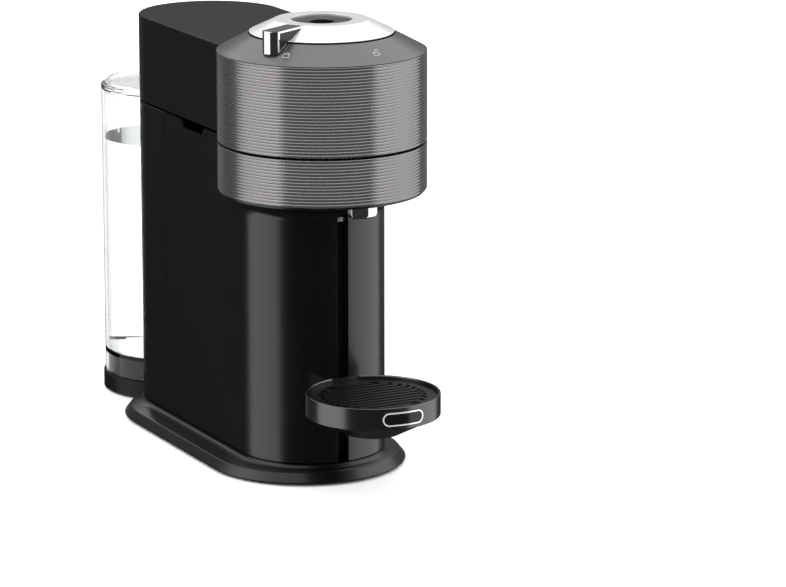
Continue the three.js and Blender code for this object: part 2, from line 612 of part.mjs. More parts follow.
add('injector_head', turned([
  [0, 225], [1.4, 227], [1.4, UNDER_LOW + 1], [24, UNDER_LOW + 0.6], [INJECT_R, UNDER_LOW + 1.6],
  [INJECT_R, UNDER_LOW + 6], [NOZZLE_R, UNDER_LOW + 9], [NOZZLE_R, 266], [0, 266],
], MID), STEEL);
add('code_reader', box(-9, 9, -52, -40, UNDER_LOW + 3 + RIDE, 250), DARK);
add('head_hose', hose(HOSE_R, [
  [0, 21, 270], [0, 30, 271], [2, 44, 272], [4, 62, 273],
], 10), HOSE);

function hingeBracket() {
  const web = box(-KNUCKLE_HALF, KNUCKLE_HALF, HEAD_R + RIDE, HINGE_Y, HINGE_Z - KNUCKLE_R,
    HINGE_Z + 1.5);
  const knuckle = crossBar(KNUCKLE_R, 0, 2 * KNUCKLE_HALF, HINGE_Y, HINGE_Z, SMALL);
  return web.add(knuckle)
    .subtract(crossBar(PIN_R + RIDE, 0, 60, HINGE_Y, HINGE_Z, SMALL));
}
add('hinge_bracket', hingeBracket(), BLACK);

// ---- lever, lock and button -----------------------------------------------------------------
const FLAT_R = 31.8;
const DISH_R = 20.8;
const LEVER_HALF = 6.5;
function lever() {
  const foot = CAP_FLAT + 0.4;
  const ring = turned([
    [LEVER_R, foot], [LEVER_R, 305], [FLAT_R, HEIGHT], [DISH_R, HEIGHT], [DISH_R, foot],
    [DISH_R + 2, foot], [DISH_R + 2, HEIGHT - 2.4], [FLAT_R - 0.8, HEIGHT - 2.4],
    [LEVER_R - 2.6, foot + 0.8], [LEVER_R - 2.6, foot],
  ], BIG);
  const under = 0.9;
  const side = new THREE.Shape();
  side.moveTo(FLAT_R - 1, HEIGHT - 2);
  side.lineTo(CAP_EDGE_R - 3, bevelAt(CAP_EDGE_R) + under);
  side.lineTo(CAP_EDGE_R, bevelAt(CAP_EDGE_R) + under);
  side.lineTo(LEVER_REACH - 1, bevelAt(LEVER_REACH - 1) + under);
  side.lineTo(LEVER_REACH, bevelAt(LEVER_REACH) + under + 1);
  side.lineTo(LEVER_REACH, HEIGHT - 0.8);
  side.lineTo(LEVER_REACH - 0.8, HEIGHT);
  side.lineTo(FLAT_R - 1, HEIGHT);
  side.closePath();
  const options = { depth: 2 * LEVER_HALF, bevelEnabled: false };
  const arm = new THREE.ExtrudeGeometry(side, options).translate(0, 0, -LEVER_HALF);
  // shape x runs outwards, shape y is up; turn the arm to its place left of the front
  arm.rotateX(Math.PI / 2).rotateZ((LEVER_ANGLE - 90) * DEG);
  return ring.add(solid(arm));
}
add('lever_ring', lever(), CHROME);

function lockingRing() {
  const hubIn = HUB_R - 2.4;
  const disc0 = CAP_FLAT - 9;
  const body = turned([
    [hubIn, disc0], [48, disc0], [48, disc0 + 2.4], [HUB_R, disc0 + 2.4],
    [HUB_R, CAP_FLAT + 0.4], [DISH_R - 0.3, CAP_FLAT + 0.4], [DISH_R - 0.3, CAP_FLAT + 2.2],
    [hubIn, CAP_FLAT + 2.2],
  ], MID);
  const lug = box(-6, 6, 46, 53, disc0, disc0 + 2.4);
  return [0, 120, 240].reduce((sum, turn) => sum.add(lug.rotate([0, 0, turn])), body);
}
add('locking_ring', lockingRing(), STEEL);

const BUTTON_R = DISH_R - 0.6;
const INSET_R = 8.4;
add('brew_button', turned([
  [0, 297.4], [5, 297.4], [5, 308.6], [BUTTON_R - 1, 308.6], [BUTTON_R, 309.4],
  [BUTTON_R, 312.4], [BUTTON_R - 0.8, 313], [INSET_R + 0.5, 312.2], [INSET_R, 311],
  [0, 311],
], MID), STEEL);
add('button_inset', turned([
  [0, 311 + RIDE], [INSET_R - RIDE, 311 + RIDE], [INSET_R - RIDE, 312], [0, 311.8],
], 24), DARK);
add('button_switch', box(-5, 5, -5, 5, 290.5 + RIDE, 295.9), DARK);

// ---- cup support ----------------------------------------------------------------------------
const RIM_LOW = TRAY_TOP - TRAY_RIM;
const BOWL_LOW = RIM_LOW - TRAY_BOWL;
const GRILLE_TOP = TRAY_TOP - 2.6;
const GRILLE_T = 2.2;
const COLUMN_CLEAR = 1;
const columnFront = (extra) => disc(BODY_HALF + extra, 0, HEIGHT, BIG, 0, BODY_FRONT_Y);
function tray() {
  const outer = turned([
    [0, BOWL_LOW], [18, BOWL_LOW], [TRAY_R - 2.4, RIM_LOW], [TRAY_R - 0.6, RIM_LOW],
    [TRAY_R, RIM_LOW + 0.8], [TRAY_R, TRAY_TOP - 0.6], [TRAY_R - 0.6, TRAY_TOP], [0, TRAY_TOP],
  ], BIG, 0, TRAY_Y).subtract(columnFront(COLUMN_CLEAR));
  const ledge = GRILLE_TOP - GRILLE_T - RIDE;
  const hollow = turned([
    [0, BOWL_LOW + 2], [17, BOWL_LOW + 2], [TRAY_R - 5, RIM_LOW + 2], [TRAY_R - 5, ledge],
    [TRAY_R - 2, ledge], [TRAY_R - 2, TRAY_TOP + 1], [0, TRAY_TOP + 1],
  ], BIG, 0, TRAY_Y).subtract(columnFront(COLUMN_CLEAR + 2));
  return outer.subtract(hollow);
}
add('drip_tray', tray(), RIBBED);

function grille() {
  const low = GRILLE_TOP - GRILLE_T;
  const plateR = TRAY_R - 2 - RIDE;
  const sheet = disc(plateR, low, GRILLE_TOP, 48, 0, TRAY_Y)
    .subtract(columnFront(COLUMN_CLEAR + 2 + RIDE));
  const pitch = 6;
  const slottedR = plateR - 10;
  const slots = [];
  for (let row = -5; row < 5; row += 1) {
    const y = (row + 0.5) * pitch;
    const reach = Math.sqrt(Math.max(0, slottedR ** 2 - y ** 2));
    const middle = TRAY_Y + y;
    if (reach > 9) slots.push(box(-reach, reach, middle - 1.4, middle + 1.4, 0, HEIGHT));
  }
  return slots.reduce((body, slot) => body.subtract(slot), sheet);
}
add('drip_grille', grille(), DARK);

const ARM_HALF = SLOT_HALF - 0.5;
const ARM_LOW = BOWL_LOW + 6;
const ARM_HIGH = TRAY_TOP - 4;
const trayBack = BODY_FRONT_Y - BODY_HALF - COLUMN_CLEAR;
const arm = box(-ARM_HALF, ARM_HALF, trayBack + RIDE, RAIL_FRONT + 4, ARM_LOW, ARM_HIGH)
  .add(box(-GROOVE_HALF + 0.5, GROOVE_HALF - 0.5, RAIL_FRONT + 2.4, RAIL_FRONT + RAIL_DEPTH - 2.4,
    ARM_LOW, ARM_HIGH));
add('support_arm', arm, ALLOY);

const BADGE_HALF = 15;
const BADGE_Z = RIM_LOW + TRAY_RIM / 2;
const BADGE_HIGH = 4.6;
const badgeFace = new THREE.Shape();
badgeFace.absarc(BADGE_HALF - BADGE_HIGH, BADGE_Z, BADGE_HIGH, -Math.PI / 2, Math.PI / 2);
badgeFace.absarc(-BADGE_HALF + BADGE_HIGH, BADGE_Z, BADGE_HIGH, Math.PI / 2, 1.5 * Math.PI);
badgeFace.closePath();
const badgeOptions = { depth: 60, bevelEnabled: false, curveSegments: 6 };
const badgeCutter = new THREE.ExtrudeGeometry(badgeFace, badgeOptions).rotateX(Math.PI / 2);
const badgeBand = tube(TRAY_R + RIDE + BADGE_T, TRAY_R + RIDE, RIM_LOW, TRAY_TOP, BIG);
const badge = badgeBand.intersect(solid(badgeCutter)).translate([0, TRAY_Y, 0]);
add('front_badge', badge, CHROME);

// ---- water tank -----------------------------------------------------------------------------
const TANK_WALL = 2;
const TANK_FLOOR = 30;
const TANK_LOW = SEAT_FLOOR + 0.6;
const BITE_R = BODY_HALF + 1.5;
const SEAT_CLEAR = SEAT_WALL + 0.5;
const bite = (extra) => disc(BITE_R + extra, 0, HEIGHT, BIG, 0, BODY_REAR_Y);
// Tank section: a round one whose front hugs the rear of the stand.
const tankSlab = (radius, low, high, extra) =>
  disc(radius, low, high, BIG, 0, TANK_Y).subtract(bite(extra));
const shellFoot = SEAT_TOP + 0.5;
const tankShell = tankSlab(TANK_R, shellFoot, TANK_TOP, 0)
  .subtract(tankSlab(TANK_R - TANK_WALL, TANK_FLOOR, HEIGHT, TANK_WALL))
  .subtract(tankSlab(TANK_R - TANK_WALL, 0, TANK_FLOOR - 2, TANK_WALL))
  .subtract(disc(5, 0, 60, SMALL, 0, SPIGOT_Y));
add('tank_shell', tankShell, CLEAR);

const baseInset = TANK_WALL + RIDE;
const baseFoot = tankSlab(SEAT_R - SEAT_CLEAR, TANK_LOW, shellFoot - RIDE, baseInset);
const tankBase = tankSlab(TANK_R - baseInset, shellFoot - 1, TANK_FLOOR - 2 - RIDE, baseInset)
  .add(baseFoot.subtract(plinthKeepOut))
  .subtract(disc(11, 0, 20, SMALL, 0, SPIGOT_Y))
  .subtract(disc(6, 0, 60, SMALL, 0, SPIGOT_Y));
add('tank_base', tankBase, DARK);
const SEAL_Z = 17;
add('tank_seal', tube(10.6, 6, SEAL_Z, SEAL_Z + 2.4, SMALL, 0, SPIGOT_Y), RUBBER);
add('tank_valve', turned([
  [0, 18], [3, 18], [3, TANK_FLOOR + 0.4], [8, TANK_FLOOR + 0.4], [8, TANK_FLOOR + 2.4],
  [3, TANK_FLOOR + 4], [0, TANK_FLOOR + 4],
], SMALL, 0, SPIGOT_Y), DARK);

const lidLow = TANK_TOP + RIDE;
const tankLid = tankSlab(TANK_R, lidLow, lidLow + 2, 0)
  .add(tankSlab(TANK_R - TANK_WALL - 0.5, lidLow - 4, lidLow + 1, TANK_WALL + 0.5))
  .subtract(tankSlab(TANK_R - TANK_WALL - 2.3, 0, lidLow, TANK_WALL + 2.3))
  .add(tankSlab(TANK_R - 3, lidLow + 1, LID_TOP, 3))
  .subtract(tankSlab(TANK_R - 5, lidLow + 3, HEIGHT, 5));
add('tank_lid', tankLid, CLEAR);

export default machine;
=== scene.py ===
"""Looks of a slim pod coffee machine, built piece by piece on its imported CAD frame."""
import logging
import math
from dataclasses import dataclass, field
from enum import Enum
from typing import Any, Callable, Sequence

import bmesh
import bpy
from mathutils import Matrix, Vector


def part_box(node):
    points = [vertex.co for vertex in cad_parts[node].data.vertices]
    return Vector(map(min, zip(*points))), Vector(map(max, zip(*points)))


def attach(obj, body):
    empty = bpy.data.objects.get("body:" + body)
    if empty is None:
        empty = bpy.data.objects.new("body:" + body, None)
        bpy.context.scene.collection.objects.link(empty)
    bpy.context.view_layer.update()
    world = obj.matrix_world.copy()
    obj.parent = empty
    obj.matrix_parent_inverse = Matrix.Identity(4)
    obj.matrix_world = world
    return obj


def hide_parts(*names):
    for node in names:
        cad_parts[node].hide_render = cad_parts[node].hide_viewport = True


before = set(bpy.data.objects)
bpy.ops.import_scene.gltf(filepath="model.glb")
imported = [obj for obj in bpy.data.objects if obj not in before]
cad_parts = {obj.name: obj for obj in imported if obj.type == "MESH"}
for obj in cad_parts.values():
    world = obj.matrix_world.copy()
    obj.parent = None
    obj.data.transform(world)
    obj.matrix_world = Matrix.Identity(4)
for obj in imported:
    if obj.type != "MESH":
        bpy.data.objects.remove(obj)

log = logging.getLogger("coffee_machine")

MM = 0.001
DUST_COLOUR = (0.32, 0.31, 0.3, 1.0)
# near-black of the painted shade on clear parts seen edge-on
PAINTED_EDGE_ON_SHADE = (0.04, 0.045, 0.045, 1.0)
BUMP_DEPTH = 0.0002
DUST_ROUGHNESS = 0.3
SMEAR_SCALE = 18.0
CLOUD_SCALE = 9.0
GRAIN_SCALE = 2600.0
FINE_GRAIN = 5200.0
LINE_FINENESS = 5200.0
Point2 = tuple[float, float]
Point3 = tuple[float, float, float]
Loop = list[Point3]


class Join(Enum):
    """How two solids are combined."""

    CUT = "DIFFERENCE"
    WELD = "UNION"
    SHARED = "INTERSECT"


# ---------------------------------------------------------------------------------------------
# shapes
# ---------------------------------------------------------------------------------------------


def arc(centre: Point2, radius: float, start: float, end: float, steps: int) -> list[Point2]:
    """Points along a circular arc.

    Args:
        centre: middle of the circle.
        radius: its radius.
        start: first angle in degrees.
        end: last angle in degrees.
        steps: number of stretches.

    Returns:
        steps + 1 points from start to end.
    """
    turns = [math.radians(start + (end - start) * i / steps) for i in range(steps + 1)]
    return [(centre[0] + radius * math.cos(t), centre[1] + radius * math.sin(t)) for t in turns]


def soften(points: Sequence[Point2], radius: float, steps: int = 4, closed: bool = True) -> list[Point2]:
    """Rounds the corners of a line of points.

    Args:
        points: corners in order.
        radius: wanted corner size, shortened where a side is too short for it.
        steps: stretches in each rounded corner.
        closed: whether the last point joins the first.

    Returns:
        The rounded line, with steps + 1 points for each rounded corner.
    """
    result: list[Point2] = []
    count = len(points)
    for index, here in enumerate(points):
        if not closed and index in (0, count - 1):
            result.append(here)
            continue
        p = Vector(here)
        before = Vector(points[index - 1]) - p
        after = Vector(points[(index + 1) % count]) - p
        reach = min(radius, before.length * 0.45, after.length * 0.45)
        a = p + before.normalized() * reach
        b = p + after.normalized() * reach
        for step in range(steps + 1):
            t = step / steps
            q = a.lerp(p, t).lerp(p.lerp(b, t), t)
            result.append((q.x, q.y))
    return result


def level(points: Sequence[Point2], height: float) -> Loop:
    """The outline lifted to a height."""
    return [(x, y, height) for x, y in points]


def stadium(half: float, front: float, rear: float, steps: int = 64) -> list[Point2]:
    """Outline with straight sides and a half circle at each end.

    Args:
        half: half width, and radius of the ends.
        front: y of the front half circle's centre.
        rear: y of the rear half circle's centre.
        steps: stretches in each half circle.

    Returns:
        The outline, anticlockwise from the left end of the front.
    """
    return arc((0, front), half, 180, 360, steps) + arc((0, rear), half, 0, 180, steps)


def bay(half: float, front: float, rear: float, steps: int = 64) -> list[Point2]:
    """Outline with a square front and a half-round rear, anticlockwise."""
    return [(-half, front), (half, front)] + arc((0, rear), half, 0, 180, steps)


def slab(x0: float, x1: float, y0: float, y1: float, corner: float = 0.0) -> list[Point2]:
    """Rectangle, with rounded corners if asked."""
    corners = [(x0, y0), (x1, y0), (x1, y1), (x0, y1)]
    return soften(corners, corner, 5) if corner > 0 else corners


def loft(rows: Sequence[Loop], closed: bool = False, caps: bool = True) -> bmesh.types.BMesh:
    """Skins a stack of loops that have the same number of points.

    Args:
        rows: the loops in order.
        closed: whether the last loop joins the first.
        caps: whether an open stack gets a face at each end.

    Returns:
        A closed mesh with its faces outwards, in millimetres.
    """
    mesh = bmesh.new()
    grid = [[mesh.verts.new(point) for point in row] for row in rows]
    count = len(grid[0])
    pairs = len(grid) if closed else len(grid) - 1
    for i in range(pairs):
        low, high = grid[i], grid[(i + 1) % len(grid)]
        for j in range(count):
            k = (j + 1) % count
            mesh.faces.new((low[j], low[k], high[k], high[j]))
    if caps and not closed:
        mesh.faces.new(list(reversed(grid[0])))
        mesh.faces.new(grid[-1])
    bmesh.ops.remove_doubles(mesh, verts=mesh.verts, dist=1e-4)
    bmesh.ops.dissolve_degenerate(mesh, edges=mesh.edges, dist=1e-5)
    bmesh.ops.recalc_face_normals(mesh, faces=mesh.faces)
    return mesh


def turned(
    profile: Sequence[Point2], centre: Point2 = (0.0, 0.0), facets: int = 128, soft: float = 0.0
) -> bmesh.types.BMesh:
    """A turned solid about an upright axis.

    Args:
        profile: (radius, height) points; both ends on the axis, or a closed outline off it.
        centre: where the axis stands.
        facets: steps round the axis.
        soft: how much the profile's corners are rounded.

    Returns:
        The closed mesh.
    """
    open_line = profile[0][0] == 0 and profile[-1][0] == 0
    line = soften(profile, soft, 3, not open_line) if soft > 0 else list(profile)
    turns = [2 * math.pi * i / facets for i in range(facets)]
    rows = [
        [(centre[0] + r * math.cos(t), centre[1] + r * math.sin(t), z) for t in turns]
        for r, z in line
    ]
    return loft(rows, closed=not open_line, caps=False)


def prism(
    outline: Sequence[Point2], low: float, high: float, place: Callable[[float, float, float], Point3] | None = None
) -> bmesh.types.BMesh:
    """An outline pushed from one height to another.

    Args:
        outline: points in order.
        low: start of the push.
        high: end of the push.
        place: where (a, b, push) lands; upright if left out.

    Returns:
        The closed mesh.
    """
    put = place or (lambda a, b, c: (a, b, c))
    return loft([[put(a, b, c) for a, b in outline] for c in (low, high)])


def sideways(y: float, z: float, x: float) -> Point3:
    """From a side view's outline and its depth to the frame."""
    return (x, y, z)


def bar_x(radius: float, x0: float, x1: float, y: float, z: float, facets: int = 48) -> bmesh.types.BMesh:
    """Round bar along X."""
    return prism(arc((y, z), radius, 0, 360, facets)[:-1], x0, x1, lambda a, b, c: (c, a, b))


def bar_y(radius: float, x: float, z: float, y0: float, y1: float, facets: int = 48) -> bmesh.types.BMesh:
    """Round bar along Y."""
    return prism(arc((x, z), radius, 0, 360, facets)[:-1], y0, y1, lambda a, b, c: (a, c, b))


def box(x0: float, x1: float, y0: float, y1: float, z0: float, z1: float) -> bmesh.types.BMesh:
    """Plain block used to cut or to start a shape."""
    return prism(slab(x0, x1, y0, y1), z0, z1)


def ease_edges(mesh: bmesh.types.BMesh, width: float, segments: int = 3, angle: float = 35.0) -> bmesh.types.BMesh:
    """Rounds every edge sharper than an angle.

    Args:
        mesh: the mesh to change.
        width: size of the rounding.
        segments: steps in it.
        angle: least fold, in degrees, that counts as an edge.

    Returns:
        The same mesh.
    """
    limit = math.radians(angle)
    edges = [e for e in mesh.edges if len(e.link_faces) == 2 and e.calc_face_angle(0) > limit]
    bmesh.ops.bevel(
        mesh, geom=edges, offset=width, segments=segments, profile=0.5, affect="EDGES",
        offset_type="OFFSET", clamp_overlap=True,
    )
    return mesh


def combine(body: bmesh.types.BMesh, tool: bmesh.types.BMesh, how: Join) -> bmesh.types.BMesh:
    """Cuts, welds or intersects two solids.

    Args:
        body: first solid; it is used up.
        tool: second solid; it is used up.
        how: the kind of combination.

    Returns:
        The new solid.
    """
    objects = []
    for name, part in (("body", body), ("tool", tool)):
        data = bpy.data.meshes.new(name)
        part.to_mesh(data)
        part.free()
        item = bpy.data.objects.new(name, data)
        bpy.context.scene.collection.objects.link(item)
        objects.append(item)
    modifier = objects[0].modifiers.new("combine", "BOOLEAN")
    modifier.operation = how.value
    modifier.solver = "EXACT"
    modifier.object = objects[1]
    depsgraph = bpy.context.evaluated_depsgraph_get()
    baked = bpy.data.meshes.new_from_object(objects[0].evaluated_get(depsgraph))
    result = bmesh.new()
    result.from_mesh(baked)
    for item in objects:
        data = item.data
        bpy.data.objects.remove(item)
        bpy.data.meshes.remove(data)
    bpy.data.meshes.remove(baked)
    bmesh.ops.remove_doubles(result, verts=result.verts, dist=1e-4)
    return result


# ---------------------------------------------------------------------------------------------
# node trees
# ---------------------------------------------------------------------------------------------


class Wiring:
    """Adds nodes to a tree and joins them."""

    def __init__(self, tree: bpy.types.NodeTree) -> None:
        """Keeps the tree."""
        self.tree = tree

    def add(self, kind: str, feeds: dict[str | int, Any] | None = None, **settings: Any) -> bpy.types.Node:
        """Adds a node.

        Args:
            kind: node type.
            feeds: input name or number to a socket or a value.
            **settings: properties of the node.

        Returns:
            The node.
        """
        node = self.tree.nodes.new(kind)
        for key, value in settings.items():
            setattr(node, key, value)
        for key, value in (feeds or {}).items():
            self.feed(node.inputs[key], value)
        return node

    def feed(self, socket: bpy.types.NodeSocket, value: Any) -> None:
        """Joins a socket to another, or sets its value."""
        if isinstance(value, bpy.types.NodeSocket):
            self.tree.links.new(value, socket)
        else:
            socket.default_value = value

    def math(self, operation: str, a: Any, b: Any = 0.0) -> bpy.types.NodeSocket:
        """Result of a math node on one or two numbers."""
        return self.add("ShaderNodeMath", {0: a, 1: b}, operation=operation).outputs[0]


def new_group(
    name: str, kind: str, inputs: Sequence[tuple[str, str, Any]], outputs: Sequence[tuple[str, str]]
) -> tuple[Wiring, bpy.types.Node, bpy.types.Node]:
    """Starts a node group with named sockets.

    Args:
        name: the group's name.
        kind: ShaderNodeTree or GeometryNodeTree.
        inputs: (name, socket type, default) of each input; None leaves the default.
        outputs: (name, socket type) of each output.

    Returns:
        The wiring, the input node and the output node.
    """
    tree = bpy.data.node_groups.new(name, kind)
    for label, socket_type, default in inputs:
        socket = tree.interface.new_socket(name=label, in_out="INPUT", socket_type=socket_type)
        if default is not None:
            socket.default_value = default
    for label, socket_type in outputs:
        tree.interface.new_socket(name=label, in_out="OUTPUT", socket_type=socket_type)
    wiring = Wiring(tree)
    return wiring, wiring.add("NodeGroupInput"), wiring.add("NodeGroupOutput")


class ShaderParts:
    """Shader effects that several finishes share, built once."""

    def __init__(self) -> None:
        """Builds the groups."""
        self.grain = self._grain()
        self.handling = self._handling()
        self.edges = self._edges()
        self.turning = self._turning()

    def _grain(self) -> bpy.types.NodeTree:
        """Fine spark-eroded grain of moulded plastic, as a height."""
        inputs = [("Scale", "NodeSocketFloat", GRAIN_SCALE), ("Coarse", "NodeSocketFloat", 0.35)]
        w, given, out = new_group("moulded_grain", "ShaderNodeTree", inputs, [("Height", "NodeSocketFloat")])
        spot = w.add("ShaderNodeTexCoord").outputs["Object"]
        fine = w.add("ShaderNodeTexNoise", {"Vector": spot, "Scale": given.outputs["Scale"], "Detail": 3.0})
        slow = w.math("MULTIPLY", given.outputs["Scale"], 0.22)
        wide = w.add("ShaderNodeTexVoronoi", {"Vector": spot, "Scale": slow})
        share = w.math("MULTIPLY", wide.outputs["Distance"], given.outputs["Coarse"])
        w.feed(out.inputs["Height"], w.math("ADD", fine.outputs[0], share))
        return w.tree

    def _handling(self) -> bpy.types.NodeTree:
        """Faint smears, and dust that settles on what faces up."""
        inputs = [("Scale", "NodeSocketFloat", SMEAR_SCALE), ("Smear", "NodeSocketFloat", 0.06),
                  ("Dust", "NodeSocketFloat", 0.2)]
        outputs = [("Roughness Shift", "NodeSocketFloat"), ("Dust Mask", "NodeSocketFloat")]
        w, given, out = new_group("smears_and_dust", "ShaderNodeTree", inputs, outputs)
        spot = w.add("ShaderNodeTexCoord").outputs["Object"]
        cloud = w.add("ShaderNodeTexNoise", {"Vector": spot, "Scale": given.outputs["Scale"], "Detail": 5.0})
        centred = w.math("SUBTRACT", cloud.outputs[0], 0.5)
        w.feed(out.inputs["Roughness Shift"], w.math("MULTIPLY", centred, given.outputs["Smear"]))
        fleck_scale = w.math("MULTIPLY", given.outputs["Scale"], 70.0)
        flecks = w.add("ShaderNodeTexNoise", {"Vector": spot, "Scale": fleck_scale, "Detail": 2.0})
        lifted = w.add("ShaderNodeMapRange", {"Value": flecks.outputs[0], "From Min": 0.62, "From Max": 0.8})
        facing = w.add("ShaderNodeSeparateXYZ", {0: w.add("ShaderNodeNewGeometry").outputs["Normal"]})
        upward = w.math("MAXIMUM", facing.outputs["Z"], 0.0)
        settled = w.math("MULTIPLY", w.math("MULTIPLY", lifted.outputs[0], upward), given.outputs["Dust"])
        w.feed(out.inputs["Dust Mask"], settled)
        return w.tree

    def _edges(self) -> bpy.types.NodeTree:
        """Where edges are lightened, broken up by noise: partly handling polish, partly a painted highlight along
        edges.
        """
        inputs = [("Start", "NodeSocketFloat", 0.52), ("Full", "NodeSocketFloat", 0.6)]
        w, given, out = new_group("polished_and_highlit_edges", "ShaderNodeTree", inputs, [("Mask", "NodeSocketFloat")])
        sharp = w.add("ShaderNodeNewGeometry").outputs["Pointiness"]
        feeds = {"Value": sharp, "From Min": given.outputs["Start"], "From Max": given.outputs["Full"]}
        ramp = w.add("ShaderNodeMapRange", feeds)
        spot = w.add("ShaderNodeTexCoord").outputs["Object"]
        broken = w.add("ShaderNodeTexNoise", {"Vector": spot, "Scale": 260.0, "Detail": 4.0})
        w.feed(out.inputs["Mask"], w.math("MULTIPLY", ramp.outputs[0], broken.outputs[0]))
        return w.tree

    def _turning(self) -> bpy.types.NodeTree:
        """Fine lines that run round an upright axis, as a height."""
        inputs = [("Fineness", "NodeSocketFloat", LINE_FINENESS), ("Shift", "NodeSocketVector", None)]
        w, given, out = new_group("turning_lines", "ShaderNodeTree", inputs, [("Height", "NodeSocketFloat")])
        spot = w.add("ShaderNodeTexCoord").outputs["Object"]
        moved = w.add("ShaderNodeVectorMath", {0: spot, 1: given.outputs["Shift"]}, operation="SUBTRACT")
        parts = w.add("ShaderNodeSeparateXYZ", {0: moved.outputs[0]})
        square = w.math("ADD", w.math("POWER", parts.outputs[0], 2.0), w.math("POWER", parts.outputs[1], 2.0))
        reach = w.math("SQRT", square)
        round_about = w.math("ARCTAN2", parts.outputs[1], parts.outputs[0])
        across = w.math("MULTIPLY", w.math("ADD", reach, parts.outputs[2]), given.outputs["Fineness"])
        along = w.math("MULTIPLY", round_about, 30.0)
        field_point = w.add("ShaderNodeCombineXYZ", {0: across, 1: along})
        lines = w.add("ShaderNodeTexNoise", {"Vector": field_point.outputs[0], "Scale": 1.0, "Detail": 1.0})
        w.feed(out.inputs["Height"], lines.outputs[0])
        return w.tree


@dataclass(frozen=True)
class Surface:
    """Numbers of one finish; grain, turned and edge lightening are strengths from 0. The lightened edges are partly
    handling wear and partly a painted highlight, and edge is the painted highlight's added brightness.
    """

    name: str
    slot: str
    dark: tuple[float, float, float]
    light: tuple[float, float, float]
    roughness: float
    metallic: float = 0.0
    specular: float = 0.5
    grain: float = 0.0
    grain_scale: float = GRAIN_SCALE
    smear: float = 0.06
    dust: float = 0.0
    wear_and_highlight: float = 0.0
    turned: float = 0.0
    fineness: float = LINE_FINENESS
    coat: float = 0.0
    # brightness added on lightened edges, a painted highlight
    edge: float = 0.02


@dataclass(frozen=True)
class ClearSurface:
    """Numbers of a finish that light passes through."""

    name: str
    slot: str
    tint: tuple[float, float, float]
    shadow: tuple[float, float, float]
    refraction: float
    roughness: float
    smear: float
    # strength of the painted edge-on shade
    outline: float


